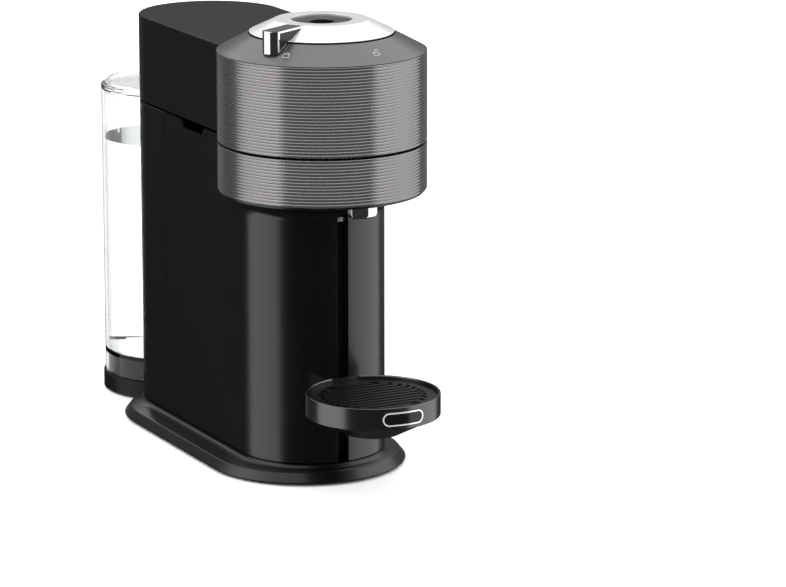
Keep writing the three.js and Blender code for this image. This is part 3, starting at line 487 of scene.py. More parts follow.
class Finish(Enum):
    """Finishes of the machine."""

    RIBBED = Surface("ribbed_grey_metal", "ribbed_grey", (0.237, 0.227, 0.23), (0.257, 0.246, 0.249), 0.17, 0.87,
                     smear=0.04, dust=0.03)
    TRAY_GREY = Surface("tray_grey_metal", "ribbed_grey", (0.125, 0.121, 0.124), (0.15, 0.145, 0.148), 0.24, 0.97,
                        grain=0.03, grain_scale=FINE_GRAIN, smear=0.06, dust=0.12, wear_and_highlight=0.12)
    CAP = Surface("cap_grey_paint", "cap_grey", (0.19, 0.182, 0.184), (0.22, 0.211, 0.214), 0.33, 0.9,
                  grain=0.03, grain_scale=FINE_GRAIN, smear=0.06, dust=0.12, wear_and_highlight=0.1)
    BUTTON = Surface("button_grey_paint", "steel", (0.105, 0.1, 0.102), (0.12, 0.115, 0.117), 0.3, 0.9,
                     grain=0.02, grain_scale=FINE_GRAIN, smear=0.05, dust=0.05)
    CHROME = Surface("bright_chrome", "chrome", (0.82, 0.825, 0.83), (0.88, 0.885, 0.89), 0.05, 1.0,
                     smear=0.03, dust=0.04)
    SHELL = Surface("matte_black_shell", "black_shell", (0.0028, 0.003, 0.0029), (0.004, 0.0042, 0.0041), 0.36,
                    specular=0.22, grain=0.07, smear=0.08, dust=0.1)
    COLUMN = Surface("satin_black_column", "satin_black", (0.0012, 0.0012, 0.0013), (0.002, 0.002, 0.0021), 0.27,
                     specular=0.8, grain=0.04, smear=0.08, dust=0.08, wear_and_highlight=0.15)
    BASE = Surface("satin_black_base", "black_shell", (0.0012, 0.0012, 0.0013), (0.002, 0.002, 0.0021), 0.3,
                   specular=0.55, grain=0.04, smear=0.08, dust=0.1, wear_and_highlight=0.2)
    DARK = Surface("dark_plastic", "dark_plastic", (0.003, 0.003, 0.0031), (0.005, 0.005, 0.0052), 0.4,
                   specular=0.35, grain=0.08, smear=0.08, dust=0.1, wear_and_highlight=0.2)
    RUBBER = Surface("black_rubber", "rubber", (0.006, 0.006, 0.006), (0.01, 0.01, 0.01), 0.82,
                     specular=0.25, grain=0.2, grain_scale=1800.0, dust=0.3)
    STEEL = Surface("brushed_steel", "steel", (0.4, 0.4, 0.405), (0.52, 0.52, 0.525), 0.28, 1.0,
                    turned=0.12, smear=0.08, dust=0.05)
    ALLOY = Surface("cast_alloy", "alloy", (0.5, 0.505, 0.51), (0.62, 0.625, 0.63), 0.42, 1.0,
                    grain=0.18, grain_scale=1500.0, smear=0.1, wear_and_highlight=0.3)
    BRASS = Surface("pump_brass", "brass", (0.5, 0.33, 0.11), (0.66, 0.46, 0.18), 0.3, 1.0, turned=0.1, smear=0.1)
    HOSE = Surface("silicone_hose", "hose", (0.6, 0.59, 0.54), (0.72, 0.71, 0.66), 0.42, grain=0.03, smear=0.08)
    BOARD = Surface("circuit_board", "board", (0.006, 0.09, 0.04), (0.012, 0.16, 0.07), 0.35, grain=0.12,
                    grain_scale=700.0, coat=0.3)
    SATIN = Surface("satin_chrome", "chrome", (0.9, 0.9, 0.905), (0.94, 0.94, 0.945), 0.26, 0.62,
                    smear=0.04, dust=0.04)
    PAINT = Surface("printed_mark", "chrome", (0.42, 0.42, 0.42), (0.5, 0.5, 0.5), 0.5, grain=0.05)
    FIELD = Surface("gloss_black_plastic", "dark_plastic", (0.003, 0.003, 0.0032), (0.005, 0.005, 0.0052), 0.16,
                    grain=0.03, smear=0.06)
    INSERT = Surface("matte_black_insert", "dark_plastic", (0.003, 0.003, 0.003), (0.005, 0.005, 0.005), 0.6,
                     specular=0.0, grain=0.06)
    CLEAR = ClearSurface("clear_tank_plastic", "clear_plastic", (0.985, 0.99, 0.99), (0.95, 0.965, 0.965),
                         1.33, 0.02, 0.02, 0.8)
    WATER = ClearSurface("tank_water", "clear_plastic", (0.97, 0.985, 0.985), (0.95, 0.965, 0.965), 1.2,
                         0.0, 0.0, 0.25)
    # grey film that paints shade on the water surface
    SURFACE = ClearSurface("water_surface_shade_film", "clear_plastic", (0.7, 0.712, 0.715), (0.95, 0.965, 0.965), 1.01,
                           0.0, 0.0, 0.0)


class FinishBook:
    """Makes each finish's material once."""

    def __init__(self, head_y: float) -> None:
        """Keeps where the head's axis stands, for the turned finishes."""
        self.parts = ShaderParts()
        self.head_y = head_y
        self.made: dict[Finish, bpy.types.Material] = {}

    def get(self, finish: Finish) -> bpy.types.Material:
        """The material of a finish, built on first use."""
        if finish not in self.made:
            maker = self._opaque if isinstance(finish.value, Surface) else self._clear
            self.made[finish] = maker(finish.value)
        return self.made[finish]

    def _start(self, name: str) -> tuple[bpy.types.Material, Wiring, bpy.types.Node, bpy.types.Node]:
        """An empty material with its shader and output."""
        material = bpy.data.materials.new(name)
        material.use_nodes = True
        material.node_tree.nodes.clear()
        w = Wiring(material.node_tree)
        shader = w.add("ShaderNodeBsdfPrincipled")
        output = w.add("ShaderNodeOutputMaterial")
        return material, w, shader, output

    def _group(self, w: Wiring, tree: bpy.types.NodeTree, feeds: dict[str | int, Any]) -> bpy.types.Node:
        """Places a shared group with its own values."""
        node = w.add("ShaderNodeGroup", node_tree=tree)
        for key, value in feeds.items():
            w.feed(node.inputs[key], value)
        return node

    def _opaque(self, s: Surface) -> bpy.types.Material:
        """A solid finish.

        Args:
            s: its numbers.

        Returns:
            The material.
        """
        material, w, shader, output = self._start(s.name)
        feeds = {"Scale": SMEAR_SCALE, "Smear": s.smear, "Dust": s.dust}
        handled = self._group(w, self.parts.handling, feeds)
        worn_and_highlit = self._group(w, self.parts.edges, {})
        spot = w.add("ShaderNodeTexCoord").outputs["Object"]
        cloud = w.add("ShaderNodeTexNoise", {"Vector": spot, "Scale": CLOUD_SCALE, "Detail": 4.0})
        tint = w.add("ShaderNodeMix", {0: cloud.outputs[0], 6: (*s.dark, 1), 7: (*s.light, 1)}, data_type="RGBA")
        # Edges lightened by the mask: partly handling wear, partly a painted highlight along edges
        edge = w.math("MULTIPLY", worn_and_highlit.outputs["Mask"], s.wear_and_highlight)
        brighter = tuple(min(1.0, c * 1.8 + s.edge) for c in s.light)
        rubbed_and_highlit = w.add("ShaderNodeMix", {0: edge, 6: tint.outputs[2], 7: (*brighter, 1)}, data_type="RGBA")
        dusty = w.add("ShaderNodeMix", {0: handled.outputs["Dust Mask"], 6: rubbed_and_highlit.outputs[2], 7: DUST_COLOUR},
                      data_type="RGBA")
        w.feed(shader.inputs["Base Color"], dusty.outputs[2])
        rough = w.math("ADD", handled.outputs["Roughness Shift"], s.roughness)
        dull = w.math("MULTIPLY", handled.outputs["Dust Mask"], DUST_ROUGHNESS)
        w.feed(shader.inputs["Roughness"], w.math("ADD", rough, dull))
        shader.inputs["Metallic"].default_value = s.metallic
        shader.inputs["Specular IOR Level"].default_value = s.specular
        shader.inputs["Coat Weight"].default_value = s.coat
        height = None
        if s.grain > 0:
            grain = self._group(w, self.parts.grain, {"Scale": s.grain_scale})
            height = w.math("MULTIPLY", grain.outputs["Height"], s.grain)
        if s.turned > 0:
            feeds = {"Fineness": s.fineness, "Shift": (0.0, self.head_y * MM, 0.0)}
            lines = self._group(w, self.parts.turning, feeds)
            scored = w.math("MULTIPLY", lines.outputs["Height"], s.turned)
            height = scored if height is None else w.math("ADD", height, scored)
        if height is not None:
            bump = w.add("ShaderNodeBump", {"Height": height, "Distance": BUMP_DEPTH, "Strength": 0.5})
            w.feed(shader.inputs["Normal"], bump.outputs[0])
        w.feed(output.inputs[0], shader.outputs[0])
        return material

    def _clear(self, s: ClearSurface) -> bpy.types.Material:
        """Clear plastic or water; light passes straight through it into shadow, and its colour darkens where it is seen
        edge-on, as painted shade that outlines it.

        Args:
            s: its numbers.

        Returns:
            The material.
        """
        material, w, shader, output = self._start(s.name)
        # Painted shade: the colour darkens towards a near-black where the surface is seen at grazing angles
        grazing = w.add("ShaderNodeLayerWeight", {0: 0.5}).outputs["Facing"]
        rim = w.math("MULTIPLY", w.math("POWER", grazing, 2.0), s.outline)
        tint = w.add("ShaderNodeMix", {0: rim, 6: (*s.tint, 1), 7: PAINTED_EDGE_ON_SHADE}, data_type="RGBA")
        w.feed(shader.inputs["Base Color"], tint.outputs[2])
        shader.inputs["IOR"].default_value = s.refraction
        shader.inputs["Transmission Weight"].default_value = 1.0
        shader.inputs["Metallic"].default_value = 0.0
        handled = self._group(w, self.parts.handling, {"Scale": 14.0, "Smear": s.smear, "Dust": 0.0})
        w.feed(shader.inputs["Roughness"], w.math("ADD", handled.outputs["Roughness Shift"], s.roughness))
        spot = w.add("ShaderNodeTexCoord").outputs["Object"]
        ripple = w.add("ShaderNodeTexNoise", {"Vector": spot, "Scale": 22.0, "Detail": 1.0})
        bump = w.add("ShaderNodeBump", {"Height": ripple.outputs[0], "Distance": BUMP_DEPTH, "Strength": 0.25})
        w.feed(shader.inputs["Normal"], bump.outputs[0])
        through = w.add("ShaderNodeBsdfTransparent", {0: (*s.shadow, 1)})
        shadow = w.add("ShaderNodeLightPath").outputs["Is Shadow Ray"]
        mix = w.add("ShaderNodeMixShader", {0: shadow, 1: shader.outputs[0], 2: through.outputs[0]})
        w.feed(output.inputs[0], mix.outputs[0])
        return material


# ---------------------------------------------------------------------------------------------
# the workshop
# ---------------------------------------------------------------------------------------------


class Workshop:
    """Finishes pieces: shapes are in millimetres with y = 0 on the head's axis."""

    def __init__(self) -> None:
        """Reads the head's axis from the frame."""
        low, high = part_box("upper_head_ring")
        self.head_y = (low.y + high.y) / 2 / MM
        self.book = FinishBook(self.head_y)
        self.count = 0

    def piece(self, name: str, mesh: bmesh.types.BMesh, finish: Finish, body: str, nodes: Sequence[str] = (),
              slot: str | None = None, fold: float = 32.0) -> bpy.types.Object:
        """Places a finished piece on its CAD body.

        Args:
            name: the piece's name.
            mesh: its shape; it is used up.
            finish: its finish.
            body: the CAD body that it rides on.
            nodes: CAD nodes that it stands for.
            slot: not used.
            fold: angle in degrees from which an edge stays crisp.

        Returns:
            The object.
        """
        mesh.transform(Matrix.Translation((0, self.head_y, 0)))
        mesh.transform(Matrix.Scale(MM, 4))
        data = bpy.data.meshes.new(name)
        mesh.to_mesh(data)
        mesh.free()
        return self.place(name, data, finish, body, nodes, slot, fold)

    def place(self, name: str, data: bpy.types.Mesh, finish: Finish, body: str, nodes: Sequence[str],
              slot: str | None, fold: float) -> bpy.types.Object:
        """Gives a mesh in metres its finish, shading and body; see piece()."""
        data.shade_smooth()
        data.set_sharp_from_angle(angle=math.radians(fold))
        data.materials.clear()
        data.materials.append(self.book.get(finish))
        item = bpy.data.objects.new(name, data)
        bpy.context.scene.collection.objects.link(item)
        self.flatten(item)
        data = item.data
        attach(item, body)
        if nodes:
            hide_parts(*nodes)
        self.count += 1
        log.info("%s: %d faces on %s", name, len(data.polygons), body)
        return item

    def flatten(self, item: bpy.types.Object) -> None:
        """Weighs the shading by face area, so that broad faces stay flat beside small roundings."""
        modifier = item.modifiers.new("face_weights", "WEIGHTED_NORMAL")
        modifier.keep_sharp = True
        modifier.weight = 90
        depsgraph = bpy.context.evaluated_depsgraph_get()
        baked = bpy.data.meshes.new_from_object(
            item.evaluated_get(depsgraph), preserve_all_data_layers=True, depsgraph=depsgraph)
        item.modifiers.remove(modifier)
        old = item.data
        name = old.name
        item.data = baked
        bpy.data.meshes.remove(old)
        baked.name = name

    def dress(self, finish: Finish, *nodes: str) -> None:
        """Gives CAD nodes whose shape is kept a finish."""
        for name in nodes:
            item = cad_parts[name]
            item.data.materials.clear()
            item.data.materials.append(self.book.get(finish))
            log.info("%s: CAD shape kept, %s", name, finish.name.lower())

    def grown(self, name: str, tree: bpy.types.NodeTree, values: dict[str, Any], finish: Finish) -> bmesh.types.BMesh:
        """Runs a geometry tree once and takes its mesh.

        Args:
            name: a name for the working object.
            tree: the geometry node group.
            values: its named inputs.
            finish: finish fed to the input called Material.

        Returns:
            The mesh, in millimetres.
        """
        item = bpy.data.objects.new(name, bpy.data.meshes.new(name))
        bpy.context.scene.collection.objects.link(item)
        modifier = item.modifiers.new(name, "NODES")
        modifier.node_group = tree
        sockets = {s.name: s.identifier for s in tree.interface.items_tree
                   if s.item_type == "SOCKET" and s.in_out == "INPUT"}
        for key, value in {**values, "Material": self.book.get(finish)}.items():
            modifier[sockets[key]] = value
        depsgraph = bpy.context.evaluated_depsgraph_get()
        baked = bpy.data.meshes.new_from_object(item.evaluated_get(depsgraph))
        item.modifiers.remove(modifier)
        result = bmesh.new()
        result.from_mesh(baked)
        data = item.data
        bpy.data.objects.remove(item)
        bpy.data.meshes.remove(data)
        bpy.data.meshes.remove(baked)
        bmesh.ops.remove_doubles(result, verts=result.verts, dist=1e-3)
        bmesh.ops.recalc_face_normals(result, faces=result.faces)
        return result


def finish_tree(w: Wiring, geometry: bpy.types.NodeSocket, material: bpy.types.NodeSocket, out: bpy.types.Node) -> None:
    """Ends a geometry tree: instances made real, then the material."""
    real = w.add("GeometryNodeRealizeInstances", {"Geometry": geometry})
    dressed = w.add("GeometryNodeSetMaterial", {"Geometry": real.outputs[0], "Material": material})
    w.feed(out.inputs[0], dressed.outputs[0])


def ribbed_ring_tree() -> bpy.types.NodeTree:
    """A hollow ring with rounded ribs that run round it.

    Returns:
        The tree; its inputs are sizes in millimetres and the number of ribs.
    """
    inputs = [
        ("Radius", "NodeSocketFloat", 71.0), ("Low", "NodeSocketFloat", 0.0), ("High", "NodeSocketFloat", 10.0),
        ("Wall", "NodeSocketFloat", 3.0), ("Ribs", "NodeSocketInt", 10), ("Depth", "NodeSocketFloat", 0.5),
        ("Roundness", "NodeSocketFloat", 0.9), ("Facets", "NodeSocketInt", 160),
        ("Material", "NodeSocketMaterial", None),
    ]
    w, given, out = new_group("ribbed_ring", "GeometryNodeTree", inputs, [("Geometry", "NodeSocketGeometry")])
    take = given.outputs
    per_rib = 6.0
    outer = w.math("ADD", w.math("MULTIPLY", take["Ribs"], per_rib), 1.0)
    rows = w.math("ADD", outer, 3.0)
    feeds = {"Size X": 1.0, "Size Y": 1.0, "Vertices X": w.math("ADD", take["Facets"], 1.0), "Vertices Y": rows}
    grid = w.add("GeometryNodeMeshGrid", feeds)
    spot = w.add("ShaderNodeSeparateXYZ", {0: w.add("GeometryNodeInputPosition").outputs[0]})
    turn = w.math("MULTIPLY", w.math("ADD", spot.outputs[0], 0.5), 2 * math.pi)
    row = w.math("ROUND", w.math("MULTIPLY", w.math("ADD", spot.outputs[1], 0.5), w.math("SUBTRACT", rows, 1.0)))
    step = w.math("MODULO", row, w.math("SUBTRACT", rows, 1.0))
    wave = w.math("ABSOLUTE", w.math("SINE", w.math("MULTIPLY", w.math("DIVIDE", step, per_rib), math.pi)))
    bead = w.math("POWER", wave, take["Roundness"])
    groove = w.math("MULTIPLY", w.math("SUBTRACT", 1.0, bead), take["Depth"])
    span = w.math("SUBTRACT", take["High"], take["Low"])
    climb = w.math("DIVIDE", w.math("MULTIPLY", span, step), w.math("SUBTRACT", outer, 1.0))
    inside = w.math("GREATER_THAN", step, w.math("SUBTRACT", outer, 0.5))
    lowest = w.math("GREATER_THAN", step, w.math("ADD", outer, 0.5))
    outer_r = w.math("SUBTRACT", take["Radius"], groove)
    inner_r = w.math("SUBTRACT", take["Radius"], take["Wall"])
    reach = w.add("ShaderNodeMix", {0: inside, 2: outer_r, 3: inner_r}).outputs[0]
    inner_z = w.add("ShaderNodeMix", {0: lowest, 2: take["High"], 3: take["Low"]}).outputs[0]
    height = w.add("ShaderNodeMix", {0: inside, 2: w.math("ADD", climb, take["Low"]), 3: inner_z}).outputs[0]
    x = w.math("MULTIPLY", reach, w.math("COSINE", turn))
    y = w.math("MULTIPLY", reach, w.math("SINE", turn))
    place = w.add("ShaderNodeCombineXYZ", {0: x, 1: y, 2: height})
    moved = w.add("GeometryNodeSetPosition", {"Geometry": grid.outputs[0], "Position": place.outputs[0]})
    joined = w.add("GeometryNodeMergeByDistance", {"Geometry": moved.outputs[0], "Distance": 0.005})
    finish_tree(w, joined.outputs[0], take["Material"], out)
    return w.tree


def slotted_plate_tree() -> bpy.types.NodeTree:
    """A round plate whose middle is straight bars with gaps between.

    Returns:
        The tree; its inputs are sizes in millimetres.
    """
    inputs = [
        ("Radius", "NodeSocketFloat", 43.0), ("Slotted", "NodeSocketFloat", 33.0), ("Low", "NodeSocketFloat", 0.0),
        ("Thickness", "NodeSocketFloat", 2.2), ("Pitch", "NodeSocketFloat", 6.0), ("Bar", "NodeSocketFloat", 3.2),
        ("Centre", "NodeSocketFloat", 0.0), ("Material", "NodeSocketMaterial", None),
    ]
    w, given, out = new_group("slotted_plate", "GeometryNodeTree", inputs, [("Geometry", "NodeSocketGeometry")])
    take = given.outputs
    half_rows = w.math("FLOOR", w.math("DIVIDE", take["Slotted"], take["Pitch"]))
    first = w.math("MULTIPLY", half_rows, take["Pitch"])
    count = w.math("ADD", w.math("MULTIPLY", half_rows, 2.0), 1.0)
    start = w.add("ShaderNodeCombineXYZ", {1: w.math("MULTIPLY", first, -1.0)})
    stride = w.add("ShaderNodeCombineXYZ", {1: take["Pitch"]})
    feeds = {"Count": count, "Start Location": start.outputs[0], "Offset": stride.outputs[0]}
    line = w.add("GeometryNodeMeshLine", feeds)
    spot = w.add("ShaderNodeSeparateXYZ", {0: w.add("GeometryNodeInputPosition").outputs[0]})
    grip = w.math("ADD", take["Slotted"], 3.0)
    left = w.math("SUBTRACT", w.math("POWER", grip, 2.0), w.math("POWER", spot.outputs[1], 2.0))
    chord = w.math("MULTIPLY", w.math("SQRT", w.math("MAXIMUM", left, 1.0)), 2.0)
    scale = w.add("ShaderNodeCombineXYZ", {0: chord, 1: take["Bar"], 2: take["Thickness"]})
    bar = w.add("GeometryNodeMeshCube", {"Size": (1.0, 1.0, 1.0)})
    feeds = {"Points": line.outputs[0], "Instance": bar.outputs[0], "Scale": scale.outputs[0]}
    bars = w.add("GeometryNodeInstanceOnPoints", feeds)
    real = w.add("GeometryNodeRealizeInstances", {"Geometry": bars.outputs[0]})
    middle = w.math("MULTIPLY", w.math("ADD", take["Radius"], take["Slotted"]), 0.5)
    width = w.math("SUBTRACT", take["Radius"], take["Slotted"])
    ring = w.add("GeometryNodeCurvePrimitiveCircle", {"Resolution": 128, "Radius": middle})
    section = w.add("GeometryNodeCurvePrimitiveQuadrilateral", {0: width, 1: take["Thickness"]})
    rim = w.add("GeometryNodeCurveToMesh", {"Curve": ring.outputs[0], "Profile Curve": section.outputs[0]})
    both = w.add("GeometryNodeJoinGeometry")
    w.tree.links.new(real.outputs[0], both.inputs[0])
    w.tree.links.new(rim.outputs[0], both.inputs[0])
    lift = w.math("ADD", take["Low"], w.math("MULTIPLY", take["Thickness"], 0.5))
    offset = w.add("ShaderNodeCombineXYZ", {1: take["Centre"], 2: lift})
    moved = w.add("GeometryNodeTransform", {"Geometry": both.outputs[0], "Translation": offset.outputs[0]})
    finish_tree(w, moved.outputs[0], take["Material"], out)
    return w.tree


# ---------------------------------------------------------------------------------------------
# sub-assemblies
# ---------------------------------------------------------------------------------------------


@dataclass
class Body:
    """Sizes that the stand's pieces share, in millimetres."""

    half: float = 51.5
    wall: float = 2.5
    front_y: float = 20.5
    rear_y: float = 178.0
    seam_front: float = 51.93
    seam_rear: float = 146.0
    low: float = 13.3
    high: float = 229.65
    housing_low: float = 231.15
    top: float = 292.0
    head_r: float = 71.0
    ring_wall: float = 3.0
    rib_depth: float = 0.42
    facets: int = 200

    def ring(self, low: float, high: float, ribs: int) -> dict[str, Any]:
        """Inputs of the ribbed ring's tree for a ring of the head between two heights."""
        return {"Radius": self.head_r, "Low": low, "High": high, "Wall": self.ring_wall, "Ribs": ribs,
                "Depth": self.rib_depth, "Facets": self.facets}


@dataclass
class Plinth:
    """Plinth, tank seat and feet."""

    shop: Workshop
    body: Body
    half: float = 70.0
    taper: float = 4.6
    edge_z: float = 8.3
    pad_z: float = 12.6
    sole_z: float = 1.5
    front_y: float = 29.0
    rear_y: float = 167.0
    under_z: float = 8.6
    under_r: float = 39.5
    sweep_r: float = 58.4
    tank_y: float = 258.5
    seat_r: float = 48.8
    seat_z: float = 13.5
    seat_floor: float = 7.0
    foot_r: float = 7.0
    foot_z: float = 1.2

    def shape(self, grow: float) -> bmesh.types.BMesh:
        """The plinth's solid, its side leaning in and its top sweeping up into the body.

        Args:
            grow: how far every face stands out, for cutting a neighbour.

        Returns:
            The mesh.
        """
        rim = self.half - self.taper
        body = self.body.half
        sweep = [(self.sweep_r, self.edge_z + 1.0)]
        for step in range(1, 13):
            t = step / 12
            q = Vector(sweep[0]).lerp(Vector((body, self.edge_z + 1.35)), t)
            p = Vector((body, self.edge_z + 1.35)).lerp(Vector((body, self.pad_z)), t)
            q = q.lerp(p, t)
            sweep.append((q.x, q.y))
        low = self.sole_z - grow
        core, under = self.under_r, self.under_z
        side = soften([(core, low), (self.half - 1.0, low), (self.half, low + 1.0), (rim, self.edge_z),
                       sweep[0]], 0.55, 5, closed=False)
        profile = [(0.0, under), (core, under)] + side + sweep[1:] + [(core, self.pad_z), (0.0, self.pad_z)]
        rows = []
        for half, z in profile:
            wide = half + (grow if half > 40 else 0.0)
            share = min(1.0, max(0.0, (half - body) / (rim - body))) ** 1.6
            front = self.body.front_y + (self.front_y - self.body.front_y) * share
            rear = self.body.rear_y + (self.rear_y - self.body.rear_y) * share
            rows.append(level(stadium(wide, front, rear, 72), z + (grow if z > low + 2 else 0.0)))
        return loft(rows, caps=False)

    def seat(self) -> bmesh.types.BMesh:
        """The ring that the tank stands in, fitted round the plinth and the body."""
        inner, top, floor = self.seat_r - 2.2, self.seat_z, self.seat_floor
        cup = turned([(0, self.sole_z), (self.seat_r, self.sole_z), (self.seat_r, top), (inner, top),
                      (inner, floor), (0, floor)], (0, self.tank_y), 144, 0.35)
        cup = combine(cup, self.shape(0.3), Join.CUT)
        sole = prism(stadium(self.half + 0.3, self.front_y, self.rear_y), 0.0, 2.6)
        cup = combine(cup, sole, Join.CUT)
        core = prism(stadium(self.body.half - 5, self.body.front_y, self.body.rear_y), 0.0, self.pad_z)
        cup = combine(cup, core, Join.CUT)
        rear = turned([(0, 8.5), (self.body.half + 0.6, 8.5), (self.body.half + 0.6, 30), (0, 30)],
                      (0, self.body.rear_y), 144)
        return combine(cup, rear, Join.CUT)

    def build(self) -> None:
        """Makes the plinth, the seat and the feet."""
        self.shop.piece("base_plinth_skin", self.shape(0.0), Finish.BASE, "stand", ["base_plinth"])
        self.shop.piece("tank_seat_ring", self.seat(), Finish.SHELL, "stand", ["tank_seat"])
        for node in ("foot_front_left", "foot_front_right", "foot_middle_left", "foot_middle_right", "foot_rear"):
            low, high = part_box(node)
            centre = ((low.x + high.x) / 2 / MM, (low.y + high.y) / 2 / MM - self.shop.head_y)
            r, z = self.foot_r, self.foot_z
            pad = turned([(0, 0), (r - 0.6, 0), (r, 0.5), (r, z), (0, z)], centre, 48, 0.15)
            self.shop.piece(node + "_pad", pad, Finish.RUBBER, "stand", [node])
        self.shop.dress(Finish.DARK, "inlet_spigot")


@dataclass
class Column:
    """Front column that flares out under the head, and the rail in its slot."""

    shop: Workshop
    body: Body
    flare_low: float = 181.0
    flare_r: float = 69.0
    lip_z: float = 198.3
    lip_tall: float = 1.3
    slot_half: float = 4.0
    slot_top: float = 182.0
    spout_half: float = 9.8
    spout_front: float = -65.3
    spout_back: float = -56.7
    spout_low: float = 189.0
    arc_steps: int = 96
    side_steps: int = 14
    flare_steps: int = 18

    def outline(self, inset: float) -> list[Point2]:
        """Plan of the column: round front, straight sides, square back."""
        half = self.body.half - inset
        back = self.body.seam_front - inset
        front = arc((0, self.body.front_y), half, 180, 360, self.arc_steps)
        run = back - self.body.front_y
        right = [(half, self.body.front_y + run * i / self.side_steps) for i in range(1, self.side_steps + 1)]
        return front + right + [(-x, y) for x, y in reversed(right)]

    def flare(self) -> list[Point2]:
        """Where each point of the plan ends up under the head."""
        reach = math.pi / 2 + math.asin(self.body.front_y / self.flare_r)
        result = []
        for index, (x, y) in enumerate(self.outline(0.0)):
            if index <= self.arc_steps:
                turn = (index / self.arc_steps * 2 - 1) * reach
                result.append((self.flare_r * math.sin(turn), -self.flare_r * math.cos(turn)))
            else:
                wide = math.sqrt(max(0.0, self.flare_r**2 - y**2))
                result.append((math.copysign(max(self.body.half, wide), x), y))
        return result

    def build(self) -> None:
        """Makes the column and dresses the rail."""
        top = self.flare()
        rise = self.lip_z - self.lip_tall - self.flare_low
        levels = [(0.0, 0.0, self.body.low + 0.3), (0.0, 0.0, self.body.low + 0.6)]
        for step in range(self.flare_steps + 1):
            turn = math.radians(90 * step / self.flare_steps)
            levels.append((0.0, 1 - math.cos(turn), self.flare_low + rise * math.sin(turn)))
        levels += [(0.0, 0.995, self.lip_z), (0.0, 0.1, self.lip_z), (self.body.wall, 0.0, self.flare_low + 4),
                   (self.body.wall, 0.0, self.body.low)]
        levels.insert(0, (0.3, 0.0, self.body.low))
        rows = []
        for inset, share, z in levels:
            low = self.outline(inset)
            rows.append([(a[0] + (b[0] - a[0]) * share, a[1] + (b[1] - a[1]) * share, z) for a, b in zip(low, top)])
        shell = loft(rows, closed=True)
        slot = box(-self.slot_half, self.slot_half, -60, self.body.front_y - 30, 0, self.slot_top)
        shell = combine(shell, slot, Join.CUT)
        shell = combine(shell, bar_y(self.slot_half, 0, self.slot_top, -60, -10), Join.CUT)
        half, front, back = self.spout_half, self.spout_front, self.spout_back
        shell = combine(shell, box(-half, half, front, back, self.spout_low, self.lip_z + 4.7), Join.CUT)
        self.shop.piece("front_column_skin", shell, Finish.COLUMN, "stand", ["front_column"], fold=28)
        self.shop.dress(Finish.DARK, "slot_rail")


